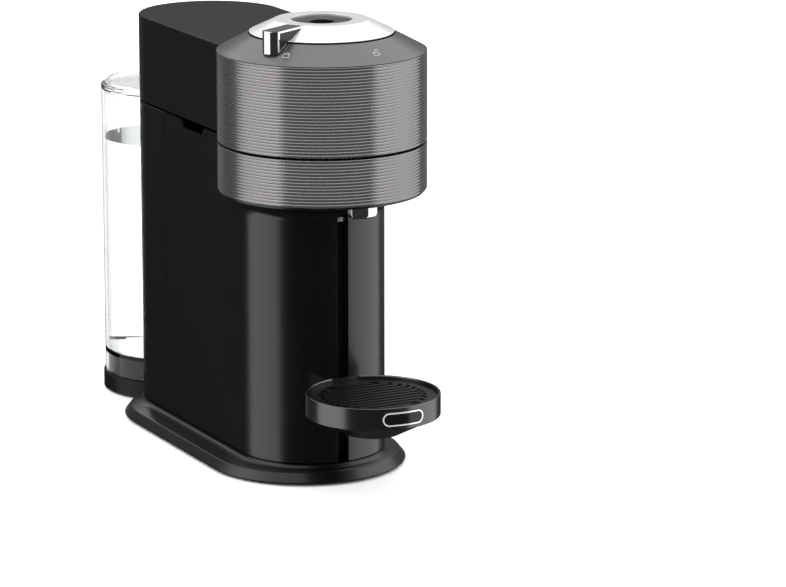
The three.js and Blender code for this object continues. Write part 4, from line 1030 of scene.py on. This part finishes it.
@dataclass
class Casing:
    """Rear shell, side panels, pod container and the housing on top."""

    shop: Workshop
    body: Body
    notch_long: float = 38.0
    notch_short: float = 32.0
    notch_deep: float = 5.5
    room: float = 1.2
    seam_wide: float = 0.6
    seam_thin: float = 0.3
    gland_y: float = 165.0
    gland_z: float = 26.0
    gland_r: float = 6.0
    boss_half: float = 19.0
    boss_gap: float = 11.8
    pin_r: float = 2.8
    pin_half: float = 17.3
    chute_half: float = 32.0
    chute_top: float = 268.0

    def rear_shell(self) -> bmesh.types.BMesh:
        """The round rear of the stand, a hollow wall with eased rims."""
        b = self.body
        front = b.seam_rear + self.seam_thin
        ease = 0.35
        rows = []
        for inset, z in ((ease, b.low), (0.0, b.low + ease), (0.0, b.high - ease), (ease, b.high), (b.wall, b.high),
                         (b.wall, b.low)):
            rows.append(level(soften(bay(b.half - inset, front + inset, b.rear_y, 72), 0.25, 2), z))
        shell = loft(rows, closed=True)
        bore = bar_x(self.gland_r, b.half - self.gland_r, b.half + self.gland_r, self.gland_y, self.gland_z)
        return combine(shell, bore, Join.CUT)

    def side_panel(self) -> bmesh.types.BMesh:
        """Outer panel of the pod container, with the finger notch in its top edge."""
        b = self.body
        front, rear = b.seam_front + self.seam_wide, b.seam_rear - self.seam_thin
        middle = (b.seam_front + b.seam_rear) / 2
        notch = soften([
            (middle + self.notch_long / 2 + 4, b.high), (middle + self.notch_long / 2, b.high),
            (middle + self.notch_short / 2, b.high - self.notch_deep),
            (middle - self.notch_short / 2, b.high - self.notch_deep),
            (middle - self.notch_long / 2, b.high), (middle - self.notch_long / 2 - 4, b.high)], 1.2, 4, closed=False)
        outline = [(front, b.low), (rear, b.low), (rear, b.high)] + notch + [(front, b.high)]
        sheet = prism(outline, -b.half, -b.half + b.wall, sideways)
        bmesh.ops.recalc_face_normals(sheet, faces=sheet.faces)
        return ease_edges(sheet, 0.22, 2)

    def housing_loop(self, inset: float, z: float) -> Loop:
        """Plan of the top housing: hollow front round the head, round rear.

        Args:
            inset: how far inside the outline.
            z: height of the loop.

        Returns:
            The loop.
        """
        b = self.body
        reach = b.head_r + self.room + inset
        half = b.half - inset
        corner = math.degrees(math.acos(half / reach))
        front = arc((0, 0), reach, 180 - corner, corner, 64)
        return level(front + arc((0, b.rear_y), half, 0, 180, 72), z)

    def housing(self) -> bmesh.types.BMesh:
        """The housing, hollow, with the pod chute and the hinge pocket cut in."""
        b = self.body
        ease = 1.3
        rows = [self.housing_loop(0.3, b.housing_low), self.housing_loop(0.0, b.housing_low + 0.3)]
        for step in range(7):
            turn = math.radians(90 * step / 6)
            rows.append(self.housing_loop(ease * (1 - math.cos(turn)), b.top - ease + ease * math.sin(turn)))
        shell = loft(rows)
        hollow = loft([self.housing_loop(b.wall, 200.0), self.housing_loop(b.wall, b.top - b.wall)])
        shell = combine(shell, hollow, Join.CUT)
        hinge_y, hinge_z = b.head_r + 5, b.top - 0.5
        wide, gap, pin, chute = self.boss_half, self.boss_gap, self.pin_half, self.chute_half
        boss = box(-wide, wide, b.head_r + 1.4, hinge_y + 5, hinge_z - 6.5, b.top - 1)
        shell = combine(shell, boss, Join.WELD)
        shell = combine(shell, box(-gap, gap, 50, hinge_y + 5.3, hinge_z - 6.3, b.top + 9), Join.CUT)
        shell = combine(shell, bar_x(self.pin_r, -pin, pin, hinge_y, hinge_z), Join.CUT)
        return combine(shell, box(-chute, chute, 40, hinge_y + 3, 200, self.chute_top), Join.CUT)

    def container(self) -> bmesh.types.BMesh:
        """The pod container's open box, its walls' corners rounded."""
        low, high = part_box("capsule_container")
        y = self.shop.head_y
        x0, x1, y0, y1, z0, z1 = (v / MM for v in (low.x, high.x, low.y, high.y, low.z, high.z))
        rows = []
        for inset, z in ((0.6, z0), (0.0, z0 + 0.6), (0.0, z1 - 0.4), (0.4, z1), (1.6, z1), (2.0, z1 - 0.4),
                         (2.0, z0 + 3.0), (3.0, z0 + 2.0)):
            rows.append(level(slab(x0 + inset, x1 - inset, y0 - y + inset, y1 - y - inset, 4.0), z))
        return loft(rows)

    def build(self) -> None:
        """Makes every casing piece."""
        b = self.body
        self.shop.piece("rear_shell_skin", self.rear_shell(), Finish.SHELL, "stand", ["rear_shell"])
        self.shop.piece("container_side_panel", self.side_panel(), Finish.SHELL, "container", ["container_panel"])
        outline = slab(b.seam_front + self.seam_wide, b.seam_rear - self.seam_thin, b.low, b.high)
        right = ease_edges(prism(outline, b.half - b.wall, b.half, sideways), 0.22, 2)
        self.shop.piece("right_panel_skin", right, Finish.SHELL, "stand", ["right_side_panel"])
        self.shop.piece("container_box", self.container(), Finish.SHELL, "container", ["capsule_container"])
        self.shop.piece("top_housing_skin", self.housing(), Finish.SHELL, "stand", ["top_housing"], fold=24)
        self.shop.dress(Finish.STEEL, "hinge_pin")
        self.shop.dress(Finish.RUBBER, "cable_gland")


@dataclass
class LowerHead:
    """Lower ribbed ring, pod deck, spinning cup and coffee outlet."""

    shop: Workshop
    rings: bpy.types.NodeTree
    body: Body
    low: float = 198.8
    high: float = 230.75
    ribs: int = 15
    outlet_y: float = -61.0
    mouth_r: float = 32.3
    deck_r: float = 67.7
    deck_low: float = 226.95
    deck_high: float = 230.35
    cup_r: float = 31.5
    cup_floor: float = 196.0

    def outlet(self) -> bmesh.types.BMesh:
        """The chrome spout: a short block with a bowed front and rounded lower corners."""
        half, corner, low, high = 9.5, 4.0, 188.5, 203.6
        rows = []
        for step in range(13):
            turn = math.radians(90 * step / 12)
            z = low + corner * (1 - math.cos(turn))
            rows.append((half - corner * (1 - math.sin(turn)), min(1.0, 0.55 + 0.6 * math.sin(turn)), z))
        rows.append((half, 1.0, high))
        loops = []
        for wide, deep, z in rows:
            y0, y1 = self.outlet_y - 4.0 * deep, self.outlet_y + 4.0
            bow = [(-wide + 2 * wide * i / 16, y0 + 1.6 * (i / 8 - 1) ** 2) for i in range(17)]
            loops.append(level(soften(bow + [(wide, y1), (-wide, y1)], 0.8, 3), z))
        block = loft(loops)
        bore = turned([(0, 180), (2.8, 180), (2.8, 230), (0, 230)], (0, self.outlet_y), 40)
        return combine(block, bore, Join.CUT)

    def build(self) -> None:
        """Makes the lower head."""
        ring = self.shop.grown("lower_ribs", self.rings, self.body.ring(self.low, self.high, self.ribs), Finish.RIBBED)
        self.shop.piece("lower_ribbed_ring", ring, Finish.RIBBED, "stand", ["lower_head_ring"], fold=60)
        mouth, low, high = self.mouth_r, self.deck_low, self.deck_high
        deck = turned([(mouth, low), (self.deck_r, low), (self.deck_r, high), (mouth + 3.2, high),
                       (mouth, high - 1.6)], soft=0.3, facets=160)
        self.shop.piece("pod_deck", deck, Finish.COLUMN, "stand", ["capsule_deck"])
        rim, brim, base = self.cup_r, high - 0.6, self.cup_floor
        cup = turned([(0, base), (16, base), (27, brim - 5), (rim, brim - 3), (rim, brim), (rim - 3, brim),
                      (26, brim - 3), (24, brim - 8), (14, base + 3), (0, base + 3)], soft=0.5)
        self.shop.piece("spinning_cup", cup, Finish.STEEL, "capsule_cup", ["capsule_holder"])
        self.shop.piece("coffee_spout", self.outlet(), Finish.CHROME, "stand", ["coffee_outlet"], fold=40)
        self.shop.dress(Finish.DARK, "collector_bowl")
        self.shop.dress(Finish.STEEL, "drive_shaft", "shaft_bearing", "spin_motor")
        self.shop.dress(Finish.ALLOY, "bearing_plate")


@dataclass
class UpperHead:
    """Upper ribbed ring, bevelled cap, lever, button and what hangs under them."""

    shop: Workshop
    rings: bpy.types.NodeTree
    body: Body
    low: float = 232.25
    high: float = 293.0
    ribs: int = 29
    height: float = 314.0
    lever_r: float = 49.0
    flat_r: float = 31.8
    dish_r: float = 20.8
    lever_turn: float = -60.0
    lever_reach: float = 64.0
    arm_half: float = 6.5
    arm_gap: float = 0.9
    arm_root: float = 31.0
    mark_turns: tuple[float, float] = (-49.0, 10.0)
    cap_low: float = 293.3
    cap_edge_r: float = 49.6
    cap_edge_z: float = 304.7
    mark_r: float = 60.5

    def cap_at(self, radius: float) -> float:
        """Height of the cap's bevel at a radius."""
        slope = (self.cap_edge_z - self.cap_low) / (self.body.head_r - self.cap_edge_r)
        return self.cap_low + (self.body.head_r - radius) * slope

    def cone(self) -> bmesh.types.BMesh:
        """The lever's cone with its flat top and open middle."""
        low, base, top = 303.0, 305.5, self.height
        foot, flat, hole = self.lever_r, self.flat_r, self.dish_r
        return turned([(foot - 2.0, low), (foot - 2.0, base), (foot - 0.4, base), (foot, base + 0.3), (flat, top),
                       (hole, top), (hole, low), (hole + 2.0, low), (hole + 2.0, top - 2.4), (flat - 0.8, top - 2.4),
                       (foot - 3.6, low + 1.6), (foot - 3.6, low)], soft=0.35, facets=192)

    def along_arm(self, r: float, z: float, w: float) -> Point3:
        """From along, up and across the arm to the frame."""
        turn = math.radians(self.lever_turn - 90)
        return (r * math.cos(turn) - w * math.sin(turn), r * math.sin(turn) + w * math.cos(turn), z)

    def arm(self) -> bmesh.types.BMesh:
        """The lever's arm: a tongue with a bowed end that comes down over the bevel."""
        under, half, tip = self.arm_gap, self.arm_half, self.lever_reach
        root, back, front = self.arm_root, self.cap_edge_r, self.lever_reach - 1.4
        side = soften([
            (root, self.height - 2), (46.0, 305.6), (back, self.cap_at(back) + under),
            (front, self.cap_at(front) + under), (tip, self.cap_at(tip) + under + 0.9),
            (tip, self.height), (root, self.height)], 1.1, 6)
        bow = [(tip - 4.2 + 4.2 * math.cos(t), half * math.sin(t))
               for t in (math.pi * (i / 24 - 0.5) for i in range(25))]
        plan = [(25.0, -half)] + bow + [(25.0, half)]
        wedge = prism(side, -8.0, 8.0, self.along_arm)
        tongue = prism(plan, 290.0, 320.0, lambda r, w, z: self.along_arm(r, z, w))
        return ease_edges(combine(wedge, tongue, Join.SHARED), 0.6, 3, 50)

    def painted_dark_sides(self) -> bmesh.types.BMesh:
        """Dark core of the arm that stands just proud of both of its sides, as a painted dark reflection on the chrome
        side faces.
        """
        under, back, front = self.arm_gap + 0.7, self.cap_edge_r, self.lever_reach - 4.8
        side = soften([
            (self.arm_root + 2.6, self.height - 1.2), (46.4, 306.3), (back, self.cap_at(back) + under),
            (front, self.cap_at(front) + under), (front, self.height - 1.2)], 0.5, 3)
        wide = self.arm_half + 0.08
        return ease_edges(prism(side, -wide, wide, self.along_arm), 0.05, 1, 50)

    def padlock(self, angle: float, open_bow: bool) -> bmesh.types.BMesh:
        """A small outlined padlock printed on the cap's bevel.

        Args:
            angle: degrees from the front, to the right.
            open_bow: whether its bow stands open.

        Returns:
            The thin mark.
        """
        line, half, top, low = 0.36, 2.3, 0.9, -2.3
        lift = 0.8 if open_bow else 0.0
        shift = 1.9 if open_bow else 0.0
        body = [slab(-half, half, low, top, 0.5), slab(-half + line, half - line, low + line, top - line, 0.3)]
        bow = [arc((shift, top + lift), 1.55, 180, 0, 14), arc((shift, top + lift), 1.55 - line, 180, 0, 14)]
        mark = bmesh.new()
        for (outer, inner), closed in ((body, True), (bow, False)):
            rows = []
            for outline, offset in ((inner, 0.02), (inner, 0.1), (outer, 0.1), (outer, 0.02)):
                rows.append([mark.verts.new(self._on_bevel(angle, s, t, offset)) for s, t in outline])
            count = len(outer)
            for i in range(4):
                here, there = rows[i], rows[(i + 1) % 4]
                for j in range(count if closed else count - 1):
                    k = (j + 1) % count
                    mark.faces.new((here[j], here[k], there[k], there[j]))
            if not closed:
                mark.faces.new([row[0] for row in rows])
                mark.faces.new([row[-1] for row in reversed(rows)])
        bmesh.ops.recalc_face_normals(mark, faces=mark.faces)
        return mark

    def _on_bevel(self, angle: float, s: float, t: float, offset: float) -> Point3:
        """Point on the cap's bevel, s along and t up the mark at an angle."""
        reach = self.mark_r - t
        turn = math.radians(angle - 90) + s / reach
        return (reach * math.cos(turn), reach * math.sin(turn), self.cap_at(reach) + offset)

    def build(self) -> None:
        """Makes the upper head, the lever and the button."""
        shop = self.shop
        ring = shop.grown("upper_ribs", self.rings, self.body.ring(self.low, self.high, self.ribs), Finish.RIBBED)
        shop.piece("upper_ribbed_ring", ring, Finish.RIBBED, "head", ["upper_head_ring"], fold=60)
        edge_r, edge_z = self.cap_edge_r, self.cap_edge_z
        cap_low, hole_r, deck_z, skirt_r = self.cap_low, 18.6, 302.6, 67.7
        cap = turned([(self.body.head_r, cap_low), (edge_r, edge_z), (edge_r, deck_z), (hole_r, deck_z),
                      (hole_r, deck_z - 2.5), (edge_r + 1.5, deck_z - 2.5), (skirt_r - 2.0, cap_low - 1.0),
                      (skirt_r - 2.0, cap_low - 4.0), (skirt_r, cap_low - 4.0), (skirt_r, cap_low)],
                     soft=0.3, facets=self.body.facets)
        shop.piece("bevelled_cap", cap, Finish.CAP, "head", ["head_cap"])
        shop.piece("locked_mark", self.padlock(self.mark_turns[0], False), Finish.PAINT, "head")
        shop.piece("unlocked_mark", self.padlock(self.mark_turns[1], True), Finish.PAINT, "head")
        shop.piece("lever_cone", self.cone(), Finish.SATIN, "lever", ["lever_ring"], fold=24)
        shop.piece("lever_arm", self.arm(), Finish.CHROME, "lever", fold=30)
        # Painted reflection: the dark core shows on the arm's chrome sides as their dark reflection
        shop.piece("lever_arm_painted_reflection", self.painted_dark_sides(), Finish.DARK, "lever")
        # Painted shadow: a thin dark ring at the cone's foot, drawn as the black line of the shaded gap
        shadow_ring = turned([(47.4, 303.1), (48.4, 303.1), (48.4, 305.3), (47.4, 305.3)], soft=0.2, facets=160)
        shop.piece("lever_painted_shadow_ring", shadow_ring, Finish.DARK, "lever")
        button = turned([(0, 297.4), (5, 297.4), (5, 308.6), (19.2, 308.6), (20.2, 309.4), (20.2, 312.4), (19.4, 313.0),
                         (8.9, 312.2), (8.4, 311.0), (0, 311.0)], soft=0.25, facets=144)
        shop.piece("round_button", button, Finish.BUTTON, "button", ["brew_button"], fold=20)
        inset = turned([(0, 311.3), (8.1, 311.3), (8.1, 311.95), (0, 311.7)], soft=0.15, facets=96)
        shop.piece("button_centre", inset, Finish.INSERT, "button", ["button_inset"])
        under = turned([(29.6, 232.95), (67.7, 232.95), (67.7, 235.95), (32.0, 235.95), (32.0, 248), (29.6, 248)],
                       soft=0.3, facets=160)
        shop.piece("underplate_skin", under, Finish.COLUMN, "head", ["head_underplate"])
        injector = turned([(0, 225), (1.4, 227), (1.4, 233.95), (24, 233.55), (28.8, 234.55), (28.8, 238.95),
                           (10, 241.95), (10, 266), (0, 266)], soft=0.3)
        shop.piece("injector_disc", injector, Finish.STEEL, "injector", ["injector_head"])
        shop.dress(Finish.DARK, "head_chassis", "code_reader", "button_switch")
        shop.dress(Finish.STEEL, "injector_bearing", "locking_ring")
        shop.dress(Finish.SHELL, "hinge_bracket")
        shop.dress(Finish.HOSE, "head_hose")


@dataclass
class CupSupport:
    """Round drip tray on its arm, the slotted plate and the blank badge."""

    shop: Workshop
    plates: bpy.types.NodeTree
    body: Body
    centre_y: float = -75.5
    radius: float = 45.3
    top: float = 73.0
    rim: float = 15.0
    bowl: float = 13.0
    ledge: float = 67.9
    badge_half: float = 15.0
    badge_tall: float = 4.6
    badge_edge: float = 0.9

    def column_room(self, extra: float) -> bmesh.types.BMesh:
        """Room kept round the column."""
        r = self.body.half + extra
        return turned([(0, 0), (r, 0), (r, 150), (0, 150)], (0, self.body.front_y), 192)

    def tray(self) -> bmesh.types.BMesh:
        """Bowl with an upright rim, its back fitted to the column."""
        r, low = self.radius, self.top - self.rim
        floor = low - self.bowl
        outer = turned([(0, floor), (18, floor), (r - 2.2, low), (r, low), (r, self.top), (0, self.top)],
                       (0, self.centre_y), 176, 0.7)
        inner = turned([(0, floor + 2), (17, floor + 2), (r - 5, low + 2), (r - 5, self.ledge), (r - 2, self.ledge),
                        (r - 2, self.top - 0.6), (r - 1.5, self.top + 0.2), (0, self.top + 0.2)],
                       (0, self.centre_y), 176)
        outer = combine(outer, self.column_room(1.0), Join.CUT)
        inner = combine(inner, self.column_room(3.0), Join.CUT)
        return combine(outer, inner, Join.CUT)

    def badge(self, half: float, tall: float, depth: float, start: float) -> bmesh.types.BMesh:
        """Round-ended plate bent round the rim.

        Args:
            half: half length.
            tall: half height, and radius of its ends.
            depth: thickness.
            start: gap between the rim and its back.

        Returns:
            The mesh.
        """
        middle = self.top - self.rim / 2
        columns = []
        steps = 72
        for i in range(steps + 1):
            s = -half * math.cos(math.pi * i / steps)
            over = max(0.0, abs(s) - (half - tall))
            h = math.sqrt(max(0.0, tall**2 - over**2))
            turn = s / self.radius - math.pi / 2
            loop = []
            for reach, z in ((start, -h), (start + depth, -h), (start + depth, h), (start, h)):
                r = self.radius + reach
                loop.append((r * math.cos(turn), self.centre_y + r * math.sin(turn), middle + z))
            columns.append(loop)
        return loft(columns, caps=False)

    def build(self) -> None:
        """Makes the tray, the plate and the badge."""
        shop = self.shop
        shop.piece("round_drip_tray", self.tray(), Finish.TRAY_GREY, "cup_support", ["drip_tray"])
        values = {"Radius": self.radius - 2.3, "Slotted": 33.0, "Low": self.ledge + 0.3, "Thickness": 2.2,
                  "Pitch": 6.0, "Bar": 3.2, "Centre": self.centre_y}
        plate = shop.grown("slotted_bars", self.plates, values, Finish.DARK)
        plate = combine(plate, self.column_room(3.3), Join.CUT)
        shop.piece("slotted_grille", plate, Finish.DARK, "grille", ["drip_grille"])
        half, tall = self.badge_half, self.badge_tall
        inner = (half - self.badge_edge, tall - self.badge_edge)
        frame_ring = combine(self.badge(half, tall, 0.6, 0.3), self.badge(*inner, 2.0, -0.5), Join.CUT)
        shop.piece("badge_frame", frame_ring, Finish.SATIN, "cup_support", ["front_badge"])
        shop.piece("badge_field", self.badge(*inner, 0.35, 0.2), Finish.FIELD, "cup_support")
        shop.dress(Finish.ALLOY, "support_arm")


@dataclass
class Tank:
    """Clear tank that hugs the rear of the stand, with its base, lid and water."""

    shop: Workshop
    body: Body
    centre_y: float = 258.5
    radius: float = 47.5
    wall: float = 2.0
    water_z: float = 189.0
    floor: float = 30.0
    top: float = 226.0
    lid_skirt: float = 222.3
    lid_ridge: float = 231.0
    spigot_shift: float = 6.0

    def plan(self, inset: float) -> list[Point2]:
        """Plan of the tank: round, with a hollow front and eased corners.

        Args:
            inset: how far inside the outer wall.

        Returns:
            The outline, always with the same number of points.
        """
        r = self.radius - inset
        bite = self.body.half + 1.5 + inset
        gap = self.centre_y - self.body.rear_y
        along = (gap**2 + bite**2 - r**2) / (2 * gap)
        side = math.sqrt(bite**2 - along**2)
        outer = math.degrees(math.atan2(along - gap, side))
        inner = math.degrees(math.atan2(along, side))
        trim = 3.0
        big = arc((0, self.centre_y), r, outer + math.degrees(trim / r), 180 - outer - math.degrees(trim / r), 120)
        nip = math.degrees(trim / bite)
        small = arc((0, self.body.rear_y), bite, 180 - inner - nip, inner + nip, 40)
        left, right = (-side, self.body.rear_y + along), (side, self.body.rear_y + along)
        return big + self._corner(big[-1], left, small[0]) + small + self._corner(small[-1], right, big[0])

    def _corner(self, a: Point2, tip: Point2, b: Point2) -> list[Point2]:
        """Points of an eased corner between two ends."""
        result = []
        for step in range(1, 7):
            t = step / 7
            q = Vector(a).lerp(Vector(tip), t).lerp(Vector(tip).lerp(Vector(b), t), t)
            result.append((q.x, q.y))
        return result

    def stack(self, levels: Sequence[Point2]) -> list[Loop]:
        """Loops of the plan at (inset, height) pairs."""
        return [level(self.plan(inset), z) for inset, z in levels]

    def build(self) -> None:
        """Makes the tank's pieces."""
        shop = self.shop
        wall, floor, top = self.wall, self.floor, self.top
        deep = wall + 30.0
        shell = loft(self.stack([
            (deep, floor - 2.0), (wall, floor - 2.0), (wall, 14.0), (0.4, 14.0), (0.0, 14.4), (0.0, top - 0.5),
            (0.5, top), (wall - 0.4, top), (wall, top - 0.4), (wall, floor + 2.0), (wall + 0.6, floor + 0.6),
            (wall + 2.0, floor), (deep, floor)]))
        spigot = self.centre_y + self.spigot_shift
        shell = combine(shell, turned([(0, 20), (5, 20), (5, 40), (0, 40)], (0, spigot), 48), Join.CUT)
        shop.piece("tank_wall", shell, Finish.CLEAR, "tank", ["tank_shell"])
        surface = self.water_z
        water = loft(self.stack([(wall + 3.0, floor + 0.1), (wall + 1.2, floor + 0.5), (wall + 0.12, floor + 2.2),
                                 (wall + 0.12, surface + 0.6), (wall + 0.8, surface + 0.1), (wall + 2.4, surface)]))
        shop.piece("water", water, Finish.WATER, "tank")
        # Painted shade: a grey film just above the water line that greys the view through the water surface
        shade_film = loft(self.stack([(wall + 0.6, surface + 0.9), (wall + 0.5, surface + 1.0),
                                (wall + 0.6, surface + 1.1)]))
        shop.piece("water_surface_shade_film", shade_film, Finish.SURFACE, "tank")
        inset = wall + 0.3
        base = loft(self.stack([(inset + 0.4, 13.8), (inset, 14.2), (inset, 27.2), (inset + 0.5, 27.7)]))
        bore = turned([(0, 10), (11, 10), (11, 20), (6, 20), (6, 40), (0, 40)], (0, spigot), 48)
        base = combine(base, bore, Join.CUT)
        shop.piece("tank_base_insert", base, Finish.INSERT, "tank", ["tank_base"])
        shop.dress(Finish.RUBBER, "tank_seal")
        shop.dress(Finish.DARK, "tank_valve")
        skirt, ridge = self.lid_skirt, self.lid_ridge
        lid = loft(self.stack([
            (5.4, skirt), (wall + 0.5, skirt), (wall + 0.5, top + 0.3), (0.4, top + 0.3), (0.0, top + 0.7),
            (0.0, top + 2.0), (0.4, top + 2.4), (2.6, top + 2.4), (3.0, top + 2.8), (3.0, ridge - 0.5), (3.5, ridge),
            (4.5, ridge), (5.0, ridge - 0.5), (5.0, top + 3.3), (30.0, top + 3.3)]))
        shop.piece("clear_lid", lid, Finish.CLEAR, "lid", ["tank_lid"])


@dataclass
class Works:
    """Pump, heater, board and hoses inside the stand."""

    shop: Workshop
    finishes: dict[Finish, tuple[str, ...]] = field(default_factory=lambda: {
        Finish.BRASS: ("water_pump",),
        Finish.RUBBER: ("pump_mount",),
        Finish.DARK: ("flow_meter",),
        Finish.ALLOY: ("heater_block",),
        Finish.BOARD: ("control_board",),
        Finish.HOSE: ("suction_hose", "pressure_hose", "supply_hose"),
    })

    def build(self) -> None:
        """Dresses the inner pieces."""
        for finish, nodes in self.finishes.items():
            self.shop.dress(finish, *nodes)


# ---------------------------------------------------------------------------------------------
# studio
# ---------------------------------------------------------------------------------------------


@dataclass(frozen=True)
class SoftBox:
    """A large soft lamp; its turn is measured from the camera's, to the right."""

    name: str
    turn: float
    lift: float
    distance: float
    size: tuple[float, float]
    radiance: float

    def power(self) -> float:
        """Watts that give the radiance."""
        return self.radiance * math.pi * self.size[0] * self.size[1]


@dataclass
class Studio:
    """Camera, lamps, room and floor."""

    shop: Workshop
    turn: float = -27.19
    lift: float = 13.46
    distance: float = 2.73437
    aside: float = 0.0478
    height: float = 0.12435
    lens: float = 183.83
    room_dim: float = 0.03
    boxes: tuple[SoftBox, ...] = (
        SoftBox("left_box", -75.0, 0.0, 1.7, (1.9, 3.6), 1.16),
        SoftBox("right_box", 97.0, 0.0, 1.9, (2.7, 3.6), 1.16),
        SoftBox("back_box", 180.0, 10.0, 2.6, (5.4, 2.6), 0.14),
        SoftBox("top_box", 0.0, 93.0, 2.0, (7.4, 7.4), 1.05),
    )

    def axes(self, turn: float, lift: float) -> tuple[Vector, Vector, Vector]:
        """Right, up and backward directions of something that looks at the head's axis."""
        a, e = math.radians(turn), math.radians(lift)
        back = Vector((math.sin(a) * math.cos(e), -math.cos(a) * math.cos(e), math.sin(e)))
        right = Vector((math.cos(a), math.sin(a), 0.0))
        return right, back.cross(right), back

    def aim(self, turn: float, lift: float, target: Vector, distance: float) -> Matrix:
        """Placement of something that looks at a target."""
        right, up, back = self.axes(turn, lift)
        spin = Matrix((right, up, back)).transposed().to_4x4()
        return Matrix.Translation(target + back * distance) @ spin

    def camera(self) -> None:
        """The view of the machine from its front left."""
        right, _, _ = self.axes(self.turn, self.lift)
        target = Vector((0.0, self.shop.head_y * MM, self.height)) + right * self.aside
        data = bpy.data.cameras.new("camera")
        data.sensor_width = 36.0
        data.lens = self.lens
        data.clip_end = 50.0
        item = bpy.data.objects.new("camera", data)
        item.matrix_world = self.aim(self.turn, self.lift, target, self.distance)
        bpy.context.scene.collection.objects.link(item)
        bpy.context.scene.camera = item

    def lamps(self) -> None:
        """The soft boxes."""
        target = Vector((0.0, self.shop.head_y * MM, 0.2))
        for lamp in self.boxes:
            data = bpy.data.lights.new(lamp.name, "AREA")
            data.shape = "RECTANGLE"
            data.size, data.size_y = lamp.size
            data.energy = lamp.power()
            item = bpy.data.objects.new(lamp.name, data)
            item.matrix_world = self.aim(self.turn + lamp.turn, lamp.lift, target, lamp.distance)
            bpy.context.scene.collection.objects.link(item)

    def mirrored(self, w: Wiring) -> bpy.types.NodeSocket:
        """1 for what a surface mirrors, 0 for what is seen directly or through clear plastic."""
        path = w.add("ShaderNodeLightPath")
        direct = w.math("LESS_THAN", path.outputs["Transmission Depth"], 0.5)
        return w.math("MULTIPLY", path.outputs["Is Glossy Ray"], direct)

    def room(self) -> None:
        """Even fill light; reflections see a dark room."""
        world = bpy.data.worlds.new("room")
        world.use_nodes = True
        world.node_tree.nodes.clear()
        w = Wiring(world.node_tree)
        fill = w.add("ShaderNodeBackground", {0: (1, 1, 1, 1), 1: 1.0})
        dim = w.add("ShaderNodeBackground", {0: (1, 1, 1, 1), 1: self.room_dim})
        mix = w.add("ShaderNodeMixShader", {0: self.mirrored(w), 1: fill.outputs[0], 2: dim.outputs[0]})
        w.add("ShaderNodeOutputWorld", {0: mix.outputs[0]})
        bpy.context.scene.world = world

    def floor(self) -> None:
        """A plain pale floor; the machine's gloss and the lamps' light pass it."""
        mesh = bmesh.new()
        bmesh.ops.create_grid(mesh, x_segments=1, y_segments=1, size=12.0)
        data = bpy.data.meshes.new("floor")
        mesh.to_mesh(data)
        mesh.free()
        material = bpy.data.materials.new("pale_floor")
        material.use_nodes = True
        shader = material.node_tree.nodes["Principled BSDF"]
        shader.inputs["Base Color"].default_value = (0.93, 0.93, 0.93, 1)
        shader.inputs["Roughness"].default_value = 0.9
        shader.inputs["Specular IOR Level"].default_value = 0.0
        data.materials.append(material)
        item = bpy.data.objects.new("floor", data)
        item.visible_glossy = False
        item.visible_shadow = False
        bpy.context.scene.collection.objects.link(item)

    def build(self) -> None:
        """Sets the studio up, with plain colours that keep the whites white."""
        bpy.context.scene.view_settings.view_transform = "Standard"
        self.camera()
        self.lamps()
        self.room()
        self.floor()


def corners(bounds: tuple[Any, Any]) -> list[list[float]]:
    """A box as plain lists of numbers."""
    return [[float(v) for v in corner] for corner in bounds]


def main() -> None:
    """Builds the machine's sub-assemblies in order."""
    logging.basicConfig(level=logging.INFO, format="%(name)s: %(message)s")
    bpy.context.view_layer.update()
    shop = Workshop()
    Studio(shop).build()
    body = Body()
    rings = ribbed_ring_tree()
    Plinth(shop, body).build()
    Column(shop, body).build()
    Casing(shop, body).build()
    LowerHead(shop, rings, body).build()
    UpperHead(shop, rings, body).build()
    CupSupport(shop, slotted_plate_tree(), body).build()
    Tank(shop, body).build()
    Works(shop).build()
    log.info("%d finished pieces", shop.count)


if __name__ == "__main__":
    main()
